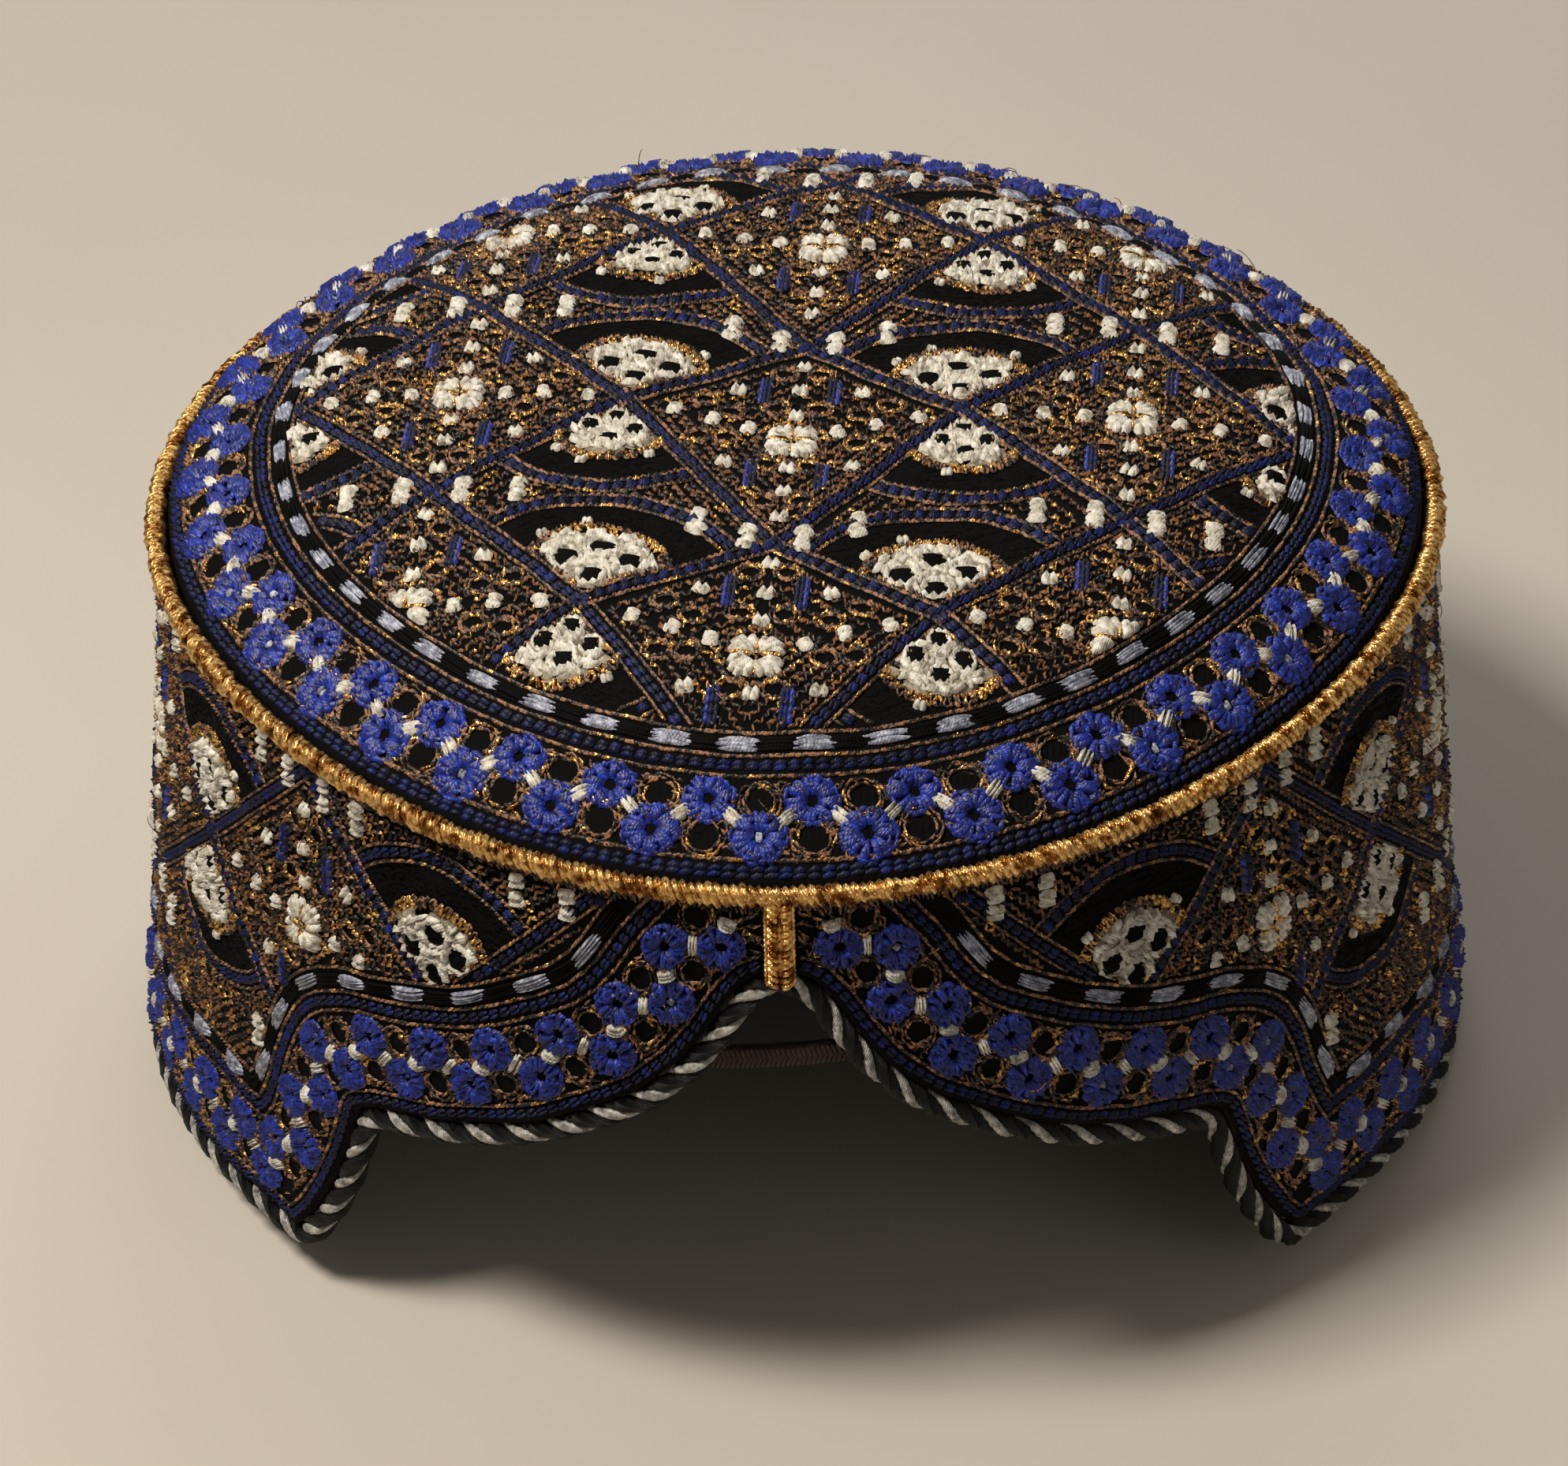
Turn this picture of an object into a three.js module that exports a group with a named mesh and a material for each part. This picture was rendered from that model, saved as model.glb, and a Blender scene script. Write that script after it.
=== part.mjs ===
// Sindhi cap: an embroidered round cap with a domed crown, a flared side band whose
// front is cut out like a curly bracket, a gold cord in the crown seam, a gold bar over
// the front, a twisted rope along the whole lower edge and a thin strap across the arch.
//
// Millimetres. +Z up, the front of the cap looks along -Y, +X is to the wearer's left.
// The origin lies under the middle of the cap, on the plane that its lower edge rests on.
// Angles run from the front centre (-Y) towards +X.
import * as THREE from 'three';
import { mergeVertices } from 'three/addons/utils/BufferGeometryUtils.js';

// ---- driving sizes ---------------------------------------------------------------
const RIM_R = 84;            // mean radius of the crown seam, at the middle of the gold cord
const SEAM_H = 85.7;         // height of the crown seam over the resting plane
const FLARE = 0.120;         // share by which the band is wider at its foot than at the seam
const CROWN_RISE = 13.8;     // height of the crown's middle over its own edge
const CROWN_POWER = 5;       // flat middle, rounded shoulder
const WALL = 3.0;            // quilted, embroidered cloth
const CORD_R = 1.5;          // gold seam cord
const ROPE_R = 1.9;          // twisted rope edging
const GAP = 0.3;             // clearance between neighbouring pieces
const FLAT_R = 30;           // flat middle of the crown's underside
const TAB = { width: 4.4, thick: 1.2, drop: 10.0 };
const STRAP = { width: 2.6, thick: 1.0, height: 59.6, tilt: 0.07, reach: 12 };

// Plan shape: radius as a share of RIM_R at angles from the front (both sides alike).
// The front and the back stand out a little, the quarters are flatter.
const PLAN = [
  { deg: 0, share: 1.019 },
  { deg: 20, share: 1.001 },
  { deg: 40, share: 0.975 },
  { deg: 60, share: 0.977 },
  { deg: 80, share: 1.004 },
  { deg: 100, share: 1.020 },
  { deg: 120, share: 1.010 },
  { deg: 140, share: 1.005 },
  { deg: 160, share: 1.020 },
  { deg: 180, share: 1.030 },
];

// Lower edge of the cap: height over the resting plane as a share of RIM_R.
const EDGE = [
  { deg: 0.0, share: 0.842 },   // apex of the front arch
  { deg: 1.0, share: 0.834 },
  { deg: 2.4, share: 0.802 },
  { deg: 4.2, share: 0.746 },
  { deg: 6.5, share: 0.688 },
  { deg: 10.0, share: 0.625 },
  { deg: 14.4, share: 0.572 },
  { deg: 18.6, share: 0.528 },
  { deg: 23.2, share: 0.488 },
  { deg: 28.3, share: 0.452 },
  { deg: 33.5, share: 0.422 },
  { deg: 36.2, share: 0.408 },
  { deg: 37.5, share: 0.396 },  // small step at the end of the lobe
  { deg: 38.3, share: 0.352 },
  { deg: 39.4, share: 0.285 },
  { deg: 41.0, share: 0.213 },
  { deg: 43.5, share: 0.130 },
  { deg: 46.2, share: 0.064 },  // corner tip
  { deg: 48.5, share: 0.062 },
  { deg: 53.0, share: 0.056 },
  { deg: 58.0, share: 0.048 },
  { deg: 64.0, share: 0.034 },
  { deg: 70.0, share: 0.018 },
  { deg: 78.0, share: 0.0 },    // from here round the back the edge is level
  { deg: 180.0, share: 0.0 },
];

// Crown outline in plan and height: share of the edge radius for each ring.
const CROWN_RINGS = [1.0, 0.985, 0.96, 0.925, 0.88, 0.82, 0.74, 0.62, 0.45];

// ---- small helpers ---------------------------------------------------------------
const rad = (d) => (d * Math.PI) / 180;
const tau = Math.PI * 2;

function fromTable(rows, deg) {
  const a = Math.abs(deg);
  for (let i = 1; i < rows.length; i++) {
    if (a <= rows[i].deg) {
      const t = (a - rows[i - 1].deg) / (rows[i].deg - rows[i - 1].deg);
      return rows[i - 1].share + t * (rows[i].share - rows[i - 1].share);
    }
  }
  return rows[rows.length - 1].share;
}

// plan radius at the seam, rounded off between the table's rows by a short average
function planRadius(deg) {
  let sum = 0;
  let n = 0;
  for (let k = -12; k <= 12; k += 2) {
    let a = Math.abs(deg + k);
    if (a > 180) a = 360 - a;
    sum += fromTable(PLAN, a);
    n += 1;
  }
  return (RIM_R * sum) / n;
}

// outer face of the band at a height over the resting plane
const bandRadius = (deg, z) => planRadius(deg) * (1 + FLARE * (1 - z / SEAM_H));

function place(deg, r, z) {
  return new THREE.Vector3(r * Math.sin(rad(deg)), -r * Math.cos(rad(deg)), z);
}

// The lower edge lifted by a distance, as a disc of that radius rolls along it.
const EDGE_STEP = 0.05;
const ARC = RIM_R * 1.08 * rad(1);          // millimetres along the wall for each degree
const edgeSamples = [];
for (let d = -86; d <= 86 + 1e-9; d += EDGE_STEP) edgeSamples.push({ u: d * ARC, v: RIM_R * fromTable(EDGE, d) });
function liftedEdge(deg, lift) {
  const u = deg * ARC;
  if (Math.abs(deg) > 82) return lift;
  let best = -Infinity;
  for (const s of edgeSamples) {
    const du = s.u - u;
    if (Math.abs(du) < lift) best = Math.max(best, s.v + Math.sqrt(lift * lift - du * du));
  }
  return best;
}

// Closed solid from stations of one polygon each; the stations close on themselves or
// are capped at both ends. Polygons are simple and given in the same order throughout.
function loft(stations, closed) {
  const n = stations[0].length;
  const pos = [];
  const idx = [];
  for (const s of stations) for (const p of s) pos.push(p.x, p.y, p.z);
  const m = stations.length;
  const last = closed ? m : m - 1;
  for (let i = 0; i < last; i++) {
    for (let j = 0; j < n; j++) {
      const a = i * n + j;
      const b = i * n + ((j + 1) % n);
      const c = ((i + 1) % m) * n + j;
      const d = ((i + 1) % m) * n + ((j + 1) % n);
      idx.push(a, b, d, a, d, c);
    }
  }
  if (!closed) {
    for (let j = 1; j < n - 1; j++) {
      idx.push(0, j + 1, j);
      const o = (m - 1) * n;
      idx.push(o, o + j, o + j + 1);
    }
  }
  const g = new THREE.BufferGeometry();
  g.setAttribute('position', new THREE.Float32BufferAttribute(pos, 3));
  g.setIndex(idx);
  return outward(g);
}

// turn all faces round if the solid is inside out
function outward(g) {
  const p = g.getAttribute('position');
  const ix = g.getIndex().array;
  const a = new THREE.Vector3();
  const b = new THREE.Vector3();
  const c = new THREE.Vector3();
  let vol = 0;
  for (let i = 0; i < ix.length; i += 3) {
    a.fromBufferAttribute(p, ix[i]);
    b.fromBufferAttribute(p, ix[i + 1]);
    c.fromBufferAttribute(p, ix[i + 2]);
    vol += a.dot(b.cross(c));
  }
  if (vol < 0) {
    const flipped = [];
    for (let i = 0; i < ix.length; i += 3) flipped.push(ix[i], ix[i + 2], ix[i + 1]);
    g.setIndex(flipped);
  }
  g.computeVertexNormals();
  return g;
}

function welded(g) {
  const h = g.clone();
  h.deleteAttribute('normal');
  if (h.getAttribute('uv')) h.deleteAttribute('uv');
  return outward(mergeVertices(h, 1e-3));
}

const group = new THREE.Group();
function add(name, geometry, color, roughness, metalness) {
  const mesh = new THREE.Mesh(geometry, new THREE.MeshStandardMaterial({ color, roughness, metalness }));
  mesh.name = name;
  group.add(mesh);
  return mesh;
}

// ---- crown: a domed, quilted disc ---------------------------------------------------
// Turned profile with its rings at shares of the edge radius, then pressed to the plan.
const CROWN_EDGE = CORD_R + GAP;                 // the disc ends short of the cord
const crownR = RIM_R - CROWN_EDGE;
const crownTop = (s) => SEAM_H + 0.6 + CROWN_RISE * (1 - Math.pow(s, CROWN_POWER));
{
  const outline = [];
  outline.push([0, crownTop(0)]);
  for (const s of [...CROWN_RINGS].reverse()) outline.push([s * crownR, crownTop(s)]);
  outline.push([crownR, SEAM_H - 1.2]);
  outline.push([crownR - 3.6, SEAM_H - 1.2]);
  for (const s of CROWN_RINGS) {
    if (s < 0.94 && s * crownR > FLAT_R + 4) outline.push([s * crownR - 0.6, crownTop(s) - WALL]);
  }
  const underside = crownTop(0) - WALL - 0.2;
  outline.push([FLAT_R, underside]);
  outline.push([0, underside]);
  const g = new THREE.LatheGeometry(outline.map(([x, y]) => new THREE.Vector2(x, y)), 96);
  g.rotateX(Math.PI / 2);
  const p = g.getAttribute('position');
  for (let i = 0; i < p.count; i++) {
    const x = p.getX(i);
    const y = p.getY(i);
    const r = Math.hypot(x, y);
    if (r > FLAT_R + 1) {
      const deg = (Math.atan2(x, -y) * 180) / Math.PI;
      const share = (r - FLAT_R) / (RIM_R - FLAT_R);
      const grow = (planRadius(deg) - RIM_R) * share;
      p.setXY(i, (x * (r + grow)) / r, (y * (r + grow)) / r);
    }
  }
  add('crown_top', welded(g), 0x4a3526, 0.85, 0.0);
}

// ---- side band: a flared wall with the arch cut out of its front ----------------------
{
  const stations = [];
  const lift = ROPE_R * 2 + GAP;
  for (let d = -180; d < 180 - 1e-9;) {
    const foot = liftedEdge(d, lift);
    const a = Math.abs(d);
    const shoulder = Math.max(SEAM_H - 3.3, foot + 0.8);
    const rTop = planRadius(d) - CROWN_EDGE;
    stations.push([
      place(d, bandRadius(d, foot) - 0.6, foot),
      place(d, bandRadius(d, shoulder) - 0.6, shoulder),
      place(d, rTop, SEAM_H - 1.5),
      place(d, rTop - 2.2, SEAM_H - 1.5),
      place(d, bandRadius(d, shoulder) - 0.6 - WALL, shoulder),
      place(d, bandRadius(d, foot) - 0.6 - WALL, foot),
    ]);
    d += a > 82 ? 4 : a > 50.5 ? 2 : a > 35.5 && a < 48.5 ? 0.5 : 1;
    d = Math.round(d * 2) / 2;
  }
  add('side_band', loft(stations, true), 0x3b2c24, 0.85, 0.0);
}

// ---- a round section swept along a loop that stays open by a hair at the back ----------
function sweptLoop(points, radius, sides, steps) {
  const path = new THREE.CatmullRomCurve3(points, false, 'centripetal');
  const section = new THREE.Shape();
  for (let i = 0; i < sides; i++) {
    const a = (tau * (i + 0.5)) / sides;
    const x = radius * Math.cos(a);
    const y = radius * Math.sin(a);
    if (i === 0) section.moveTo(x, y);
    else section.lineTo(x, y);
  }
  section.closePath();
  const g = new THREE.ExtrudeGeometry(section, { steps, extrudePath: path, bevelEnabled: false, curveSegments: 1 });
  return welded(g);
}

const BACK_GAP = 0.12;                          // degrees on each side of the back centre

// ---- gold seam cord --------------------------------------------------------------------
{
  const points = [];
  for (let d = -180 + BACK_GAP; d <= 180; d += (360 - 2 * BACK_GAP) / 96) points.push(place(d, planRadius(d), SEAM_H));
  add('seam_cord', sweptLoop(points, CORD_R, 8, 112), 0xb98a3c, 0.35, 0.9);
}

// ---- rope edging along the whole lower edge ----------------------------------------------
{
  // points on the wall's mid-surface, evenly spaced along the edge, then eased round corners
  const raw = [];
  for (let d = -180 + BACK_GAP; d <= 180 - BACK_GAP + 1e-6;) {
    const z = liftedEdge(d, ROPE_R);
    raw.push(place(d, bandRadius(d, z) - 0.6 - WALL / 2, z));
    const a = Math.abs(d);
    const step = a > 82 ? 3 : 0.1;
    if (d < 180 - BACK_GAP - 1e-6) d = Math.min(d + step, 180 - BACK_GAP);
    else break;
  }
  const fine = new THREE.CatmullRomCurve3(raw, false, 'centripetal');
  fine.arcLengthDivisions = 4000;
  const even = fine.getSpacedPoints(480);
  const eased = even.map((p, i) => {
    if (i < 2 || i > even.length - 3) return p;
    const q = p.clone().multiplyScalar(2);
    q.add(even[i - 1]).add(even[i + 1]);
    return q.multiplyScalar(0.25);
  });
  add('rope_edging', sweptLoop(eased, ROPE_R - 0.02, 8, 236), 0x15130f, 0.5, 0.0);
}

// ---- gold bar over the front centre --------------------------------------------------------
{
  const stations = [];
  const top = SEAM_H - 2.4;
  for (let i = 0; i <= 6; i++) {
    const z = top - (TAB.drop * i) / 6;
    const r = bandRadius(0, z) + GAP * 0.5;
    const w = TAB.width / 2 - (i === 0 || i === 6 ? 0.4 : 0);
    const half = (w / r) * (180 / Math.PI);
    stations.push([
      place(-half, r, z),
      place(half, r, z),
      place(half, r + TAB.thick * 0.6, z),
      place(half * 0.5, r + TAB.thick, z),
      place(-half * 0.5, r + TAB.thick, z),
      place(-half, r + TAB.thick * 0.6, z),
    ]);
  }
  add('front_tab', loft(stations, false), 0xa87a34, 0.4, 0.8);
}

// ---- thin woven strap across the arch, against the band's inner face ---------------------------
{
  const stations = [];
  for (let d = -STRAP.reach; d <= STRAP.reach + 1e-9; d += 1) {
    const z = STRAP.height + STRAP.tilt * RIM_R * Math.sin(rad(d));
    const lo = z - STRAP.width / 2;
    const hi = z + STRAP.width / 2;
    const rLo = bandRadius(d, lo) - 0.6 - WALL - GAP - 0.45;
    const rHi = bandRadius(d, hi) - 0.6 - WALL - GAP - 0.45;
    stations.push([
      place(d, rLo, lo),
      place(d, rHi, hi),
      place(d, rHi - STRAP.thick, hi),
      place(d, rLo - STRAP.thick, lo),
    ]);
  }
  add('front_strap', loft(stations, false), 0x2c1a16, 0.75, 0.0);
}

// ---- set the lowest point exactly on the resting plane, the middle over the origin ----------------
{
  const box = new THREE.Box3();
  group.updateMatrixWorld(true);
  for (const mesh of group.children) box.expandByObject(mesh, true);
  const mid = box.getCenter(new THREE.Vector3());
  for (const mesh of group.children) mesh.position.set(-mid.x, -mid.y, -box.min.z);
}

export default group;
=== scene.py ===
"""Embroidered round cap. Every thread is a small raised strip wrapped on to the crown or the band.

Lengths in the tables are millimetres; the finished meshes are metres. The front is -Y.
Angles run from the front centre towards +X. The crown's threads are drawn flat in (x, y), and
the band's in (u, z), where u is the length along the wall from the front centre.
"""

import math

import bpy
import numpy as np
from mathutils import Matrix, Vector


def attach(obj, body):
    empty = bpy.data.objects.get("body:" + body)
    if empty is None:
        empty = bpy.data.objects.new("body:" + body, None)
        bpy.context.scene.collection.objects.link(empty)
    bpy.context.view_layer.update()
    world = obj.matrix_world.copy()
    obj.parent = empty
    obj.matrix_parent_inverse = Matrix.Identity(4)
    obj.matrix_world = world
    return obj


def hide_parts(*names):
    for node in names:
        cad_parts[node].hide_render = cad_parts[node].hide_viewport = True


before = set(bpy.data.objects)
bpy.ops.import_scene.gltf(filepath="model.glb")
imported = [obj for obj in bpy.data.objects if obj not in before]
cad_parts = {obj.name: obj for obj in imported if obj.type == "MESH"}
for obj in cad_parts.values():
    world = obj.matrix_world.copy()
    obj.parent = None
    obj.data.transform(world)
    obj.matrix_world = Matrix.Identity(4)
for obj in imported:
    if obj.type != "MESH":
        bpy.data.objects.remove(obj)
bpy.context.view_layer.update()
rng = np.random.default_rng(20)
TAU = 2 * math.pi
MM = 0.001
SHIFT = np.array([-0.0003, -4.0373, -0.16097])

# ------------------------------------------------------------------ the cap's shape, as in the CAD
RIM_R, SEAM_H, FLARE, CROWN_RISE, CROWN_POWER, WALL = 84.0, 85.7, 0.120, 13.8, 5, 3.0
CROWN_R = RIM_R - 1.8
ARC = RIM_R * 1.08 * math.pi / 180
HALF = 180 * ARC
PLAN = np.array([(0, 1.019), (20, 1.001), (40, .975), (60, .977), (80, 1.004), (100, 1.020), (120, 1.010), (140, 1.005), (160, 1.020), (180, 1.030)])
EDGE = np.array([(0, .842), (1, .834), (2.4, .802), (4.2, .746), (6.5, .688), (10, .625), (14.4, .572), (18.6, .528), (23.2, .488),
                 (28.3, .452), (33.5, .422), (36.2, .408), (37.5, .396), (38.3, .352), (39.4, .285), (41, .213), (43.5, .130),
                 (46.2, .064), (48.5, .062), (53, .056), (58, .048), (64, .034), (70, .018), (78, 0), (180, 0)])
_deg = np.arange(-180, 180.01, 0.25)
_plan = np.zeros_like(_deg)
for _k in range(-12, 13, 2):
    _a = np.abs(_deg + _k)
    _a = np.where(_a > 180, 360 - _a, _a)
    _plan += np.interp(_a, PLAN[:, 0], PLAN[:, 1])
_plan *= RIM_R / 13


def plan_radius(deg):
    return np.interp((np.asarray(deg, float) + 180) % 360 - 180, _deg, _plan)


def band_radius(deg, z):
    return plan_radius(deg) * (1 + FLARE * (1 - z / SEAM_H))


_ed = np.arange(-86, 86.001, 0.05)
_eu, _ev = _ed * ARC, RIM_R * np.interp(np.abs(_ed), EDGE[:, 0], EDGE[:, 1])
_qd = np.arange(-84, 84.001, 0.1)
_lift_cache = {}


def lifted(deg, lift):
    """Lower edge of the cap raised by a distance, as a disc of that radius rolls along it."""
    if lift not in _lift_cache:
        qu = _qd * ARC
        du = np.abs(_eu[None, :] - qu[:, None])
        up = np.where(du < lift, _ev[None, :] + np.sqrt(np.maximum(lift * lift - du * du, 0)), -1e9)
        _lift_cache[lift] = up.max(1)
    deg = (np.asarray(deg, float) + 180) % 360 - 180
    return np.where(np.abs(deg) > 82, lift, np.interp(deg, _qd, _lift_cache[lift]))


def rear(deg):
    """0 in front, 1 round the back, where the crown's padded rim bulges a little over the seam."""
    a = np.abs((np.asarray(deg, float) + 180) % 360 - 180)
    t = np.clip((a - 64) / 26, 0, 1)
    return t * t * (3 - 2 * t)


def crown_share(x, y):
    """Share of the crown's edge radius at a place in its plan."""
    r = np.hypot(x, y)
    deg = np.degrees(np.arctan2(x, -y))
    g = plan_radius(deg) - RIM_R
    raw = np.where(r > 30, (r + 30 * g / 54) / (1 + g / 54), r)
    return np.clip(raw / CROWN_R, 0, 1.02)


def crown_z(x, y):
    s = crown_share(x, y)
    puff = np.exp(-((s - .955) / .055) ** 2) * (.25 + 1.45 * rear(np.degrees(np.arctan2(x, -y))))
    return SEAM_H + 0.6 + CROWN_RISE * (1 - s ** CROWN_POWER) + puff


def uneven(a, b):
    """Slight puckering of hand-stitched cloth."""
    return (0.20 * np.sin(a / 5.3 + 1.1) * np.sin(b / 6.1 + .4) + 0.13 * np.sin(a / 2.9 + b / 3.7)
            + 0.10 * np.sin(a / 1.9 - b / 2.3 + 2.0))


def wrap_crown(P):
    x, y, h = P[..., 0], P[..., 1], P[..., 2]
    e = 0.05
    gx = (crown_z(x + e, y) - crown_z(x - e, y)) / (2 * e)
    gy = (crown_z(x, y + e) - crown_z(x, y - e)) / (2 * e)
    n = np.stack([-gx, -gy, np.ones_like(gx)], -1)
    n /= np.linalg.norm(n, axis=-1, keepdims=True)
    edge = np.clip((np.hypot(x, y) - 74) / 8, 0, 1)
    c = np.stack([x, y, crown_z(x, y)], -1)
    return c + n * (h + uneven(x, y) * (1 - edge))[..., None]


def wall_point(u, z):
    t = np.radians(u / ARC)
    r = band_radius(u / ARC, z) - 0.6
    return np.stack([r * np.sin(t), -r * np.cos(t), z + 0 * r], -1)


def wrap_band(P):
    u, z, h = P[..., 0], P[..., 1], P[..., 2]
    e = 0.05
    du = wall_point(u + e, z) - wall_point(u - e, z)
    dz = wall_point(u, z + e) - wall_point(u, z - e)
    n = np.cross(du, dz)
    n /= np.linalg.norm(n, axis=-1, keepdims=True)
    return wall_point(u, z) + n * (h + uneven(u, z))[..., None]


# ------------------------------------------------------------------ mesh making
def build(name, V, Q, uv=None, mats=(), index=None):
    """Quads from arrays, smooth shaded, moved to the row frame in metres."""
    V = (np.asarray(V, float).reshape(-1, 3) + SHIFT) * MM
    Q = np.asarray(Q, np.int32).reshape(-1, 4)
    me = bpy.data.meshes.new(name)
    me.vertices.add(len(V))
    me.vertices.foreach_set("co", V.astype(np.float32).ravel())
    me.loops.add(Q.size)
    me.loops.foreach_set("vertex_index", Q.ravel())
    me.polygons.add(len(Q))
    me.polygons.foreach_set("loop_start", np.arange(0, Q.size, 4, dtype=np.int32))
    me.update(calc_edges=True)
    me.polygons.foreach_set("use_smooth", np.ones(len(Q), dtype=bool))
    if index is not None:
        me.polygons.foreach_set("material_index", np.asarray(index, np.int32))
    if uv is not None:
        layer = me.uv_layers.new(name="thread")
        layer.uv.foreach_set("vector", np.asarray(uv, np.float32).reshape(-1, 2)[Q.ravel()].ravel())
    me.validate()
    ob = bpy.data.objects.new(name, me)
    bpy.context.scene.collection.objects.link(ob)
    for m in mats:
        me.materials.append(m)
    return ob


SECTION = {3: (np.array([-1, 0, 1.]), np.array([0, 1, 0.])),
           5: (np.array([-1, -.68, 0, .68, 1.]), np.array([0, .74, 1, .74, 0]))}
TAPER = {3: (np.array([.45, 1, .45]), np.array([.12, 1, .12])),
         4: (np.array([.5, 1, 1, .5]), np.array([.1, 1, 1, .1])),
         5: (np.array([.45, .92, 1, .92, .45]), np.array([.05, .82, 1, .82, .05]))}


class Threads:
    """Threads of one colour on one surface."""

    def __init__(self, wrap):
        self.wrap, self.P, self.Q, self.UV, self.n = wrap, [], [], [], 0

    def strips(self, P, w, h0, lift, cols=3):
        """P: (N, K, 2) midlines, w: widths, h0: height of their edges, lift: height of the ridge over that."""
        P = np.asarray(P, float)
        N, K = P.shape[:2]
        if N == 0:
            return
        w, h0, lift = (np.broadcast_to(np.asarray(a, float), (N,)) for a in (w, h0, lift))
        t = np.gradient(P, axis=1)
        t /= np.maximum(np.linalg.norm(t, axis=-1, keepdims=True), 1e-9)
        n = np.stack([-t[..., 1], t[..., 0]], -1)
        off, hh = SECTION[cols]
        wf, lf = TAPER[K]
        side = off[None, None, :] * wf[None, :, None] * w[:, None, None] / 2
        xy = P[:, :, None, :] + n[:, :, None, :] * side[..., None]
        h = h0[:, None, None] + lift[:, None, None] * lf[None, :, None] * hh[None, None, :]
        V = np.concatenate([xy, h[..., None]], -1)
        seg = np.linalg.norm(np.diff(P, axis=1), axis=-1)
        s = np.concatenate([np.zeros((N, 1)), np.cumsum(seg, 1)], 1)
        uv = np.stack([side, np.broadcast_to(s[:, :, None], side.shape)], -1)
        i, j = np.meshgrid(np.arange(K - 1), np.arange(cols - 1), indexing="ij")
        a = (i * cols + j).ravel()
        q = np.stack([a, a + cols, a + cols + 1, a + 1], -1)
        Q = self.n + (np.arange(N) * K * cols)[:, None, None] + q[None]
        self.P.append(V.reshape(-1, 3))
        self.UV.append(uv.reshape(-1, 2))
        self.Q.append(Q.reshape(-1, 4))
        self.n += N * K * cols

    def straight(self, A, B, w, h0, lift, K=4, cols=3, bow=0.0):
        A, B = np.asarray(A, float), np.asarray(B, float)
        if len(A) == 0:
            return
        k = {3: np.array([0, .5, 1]), 4: np.array([0, .22, .78, 1]), 5: np.array([0, .16, .5, .84, 1])}[K]
        d = B - A
        n = np.stack([-d[:, 1], d[:, 0]], -1)
        b = np.broadcast_to(np.asarray(bow, float), (len(A),))
        P = A[:, None] + d[:, None] * k[None, :, None] + n[:, None] * (b[:, None] * (4 * k * (1 - k))[None])[..., None]
        self.strips(P, w, h0, lift, cols)

    def tris(self):
        return sum(len(q) for q in self.Q) * 2

    def make(self, name, mat, slot):
        ob = build(name, self.wrap(np.concatenate(self.P)), np.concatenate(self.Q), np.concatenate(self.UV), [mat])
        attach(ob, "root")
        return ob


def resample(P, step, closed=False):
    """Evenly spaced points of a polyline with their directions."""
    P = np.asarray(P, float)
    if closed:
        P = np.vstack([P, P[:1]])
    seg = np.linalg.norm(np.diff(P, axis=0), axis=1)
    s = np.r_[0, np.cumsum(seg)]
    n = max(int(round(s[-1] / step)), 1)
    at = (np.arange(n) + 0.5) * s[-1] / n
    C = np.stack([np.interp(at, s, P[:, k]) for k in range(P.shape[1])], -1)
    e = min(step, s[-1] / 4) * 0.5
    T = np.stack([np.interp(np.minimum(at + e, s[-1]), s, P[:, k]) - np.interp(np.maximum(at - e, 0), s, P[:, k]) for k in range(P.shape[1])], -1)
    T /= np.maximum(np.linalg.norm(T, axis=1, keepdims=True), 1e-9)
    return C, T


def left(T):
    return np.stack([-T[..., 1], T[..., 0]], -1)


def shifted(P, d, closed=False):
    C, T = resample(P, 0.7, closed)
    return C + left(T) * d


def jit(n, a):
    return rng.uniform(-a, a, n)


# ------------------------------------------------------------------ stitches used in several places
def thin_cord(th, P, keep, w=0.50, closed=False, lift=0.55, gold=None, share=0.06):
    """A couched cord of two plies: short slanted strands one after the other."""
    C, T = resample(P, 0.85, closed)
    ok = keep(C)
    C, T = C[ok], T[ok]
    N = left(T)
    a = 0.62 + jit(len(C), .1)
    A = C - T * a[:, None] - N * 0.13 + N * jit(len(C), .06)[:, None]
    B = C + T * a[:, None] + N * 0.13 + N * jit(len(C), .06)[:, None]
    pick = rng.random(len(C)) < (share if gold is not None else -1)
    th.straight(A[~pick], B[~pick], w + jit((~pick).sum(), .06), -.30, lift, 3, 3)
    if gold is not None:
        gold.straight(A[pick], B[pick], w, -.26, lift, 3, 3)


def bead_line(th, P, keep, w=1.35, pitch=1.75, closed=False, lift=.85):
    """A line of dark blue back stitches."""
    C, T = resample(P, pitch, closed)
    ok = keep(C)
    C, T = C[ok], T[ok]
    N = left(T)
    n = len(C)
    for sgn in (-1, 1):
        o = N * (sgn * w * .22) + N * jit(n, .05)[:, None]
        h = pitch * (.43 + jit(n, .06))[:, None]
        th.straight(C + o - T * h - N * .12, C + o + T * h + N * .12, w * (.60 + jit(n, .08)), -.32, lift + jit(n, .22), 3, 3, .06)


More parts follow.
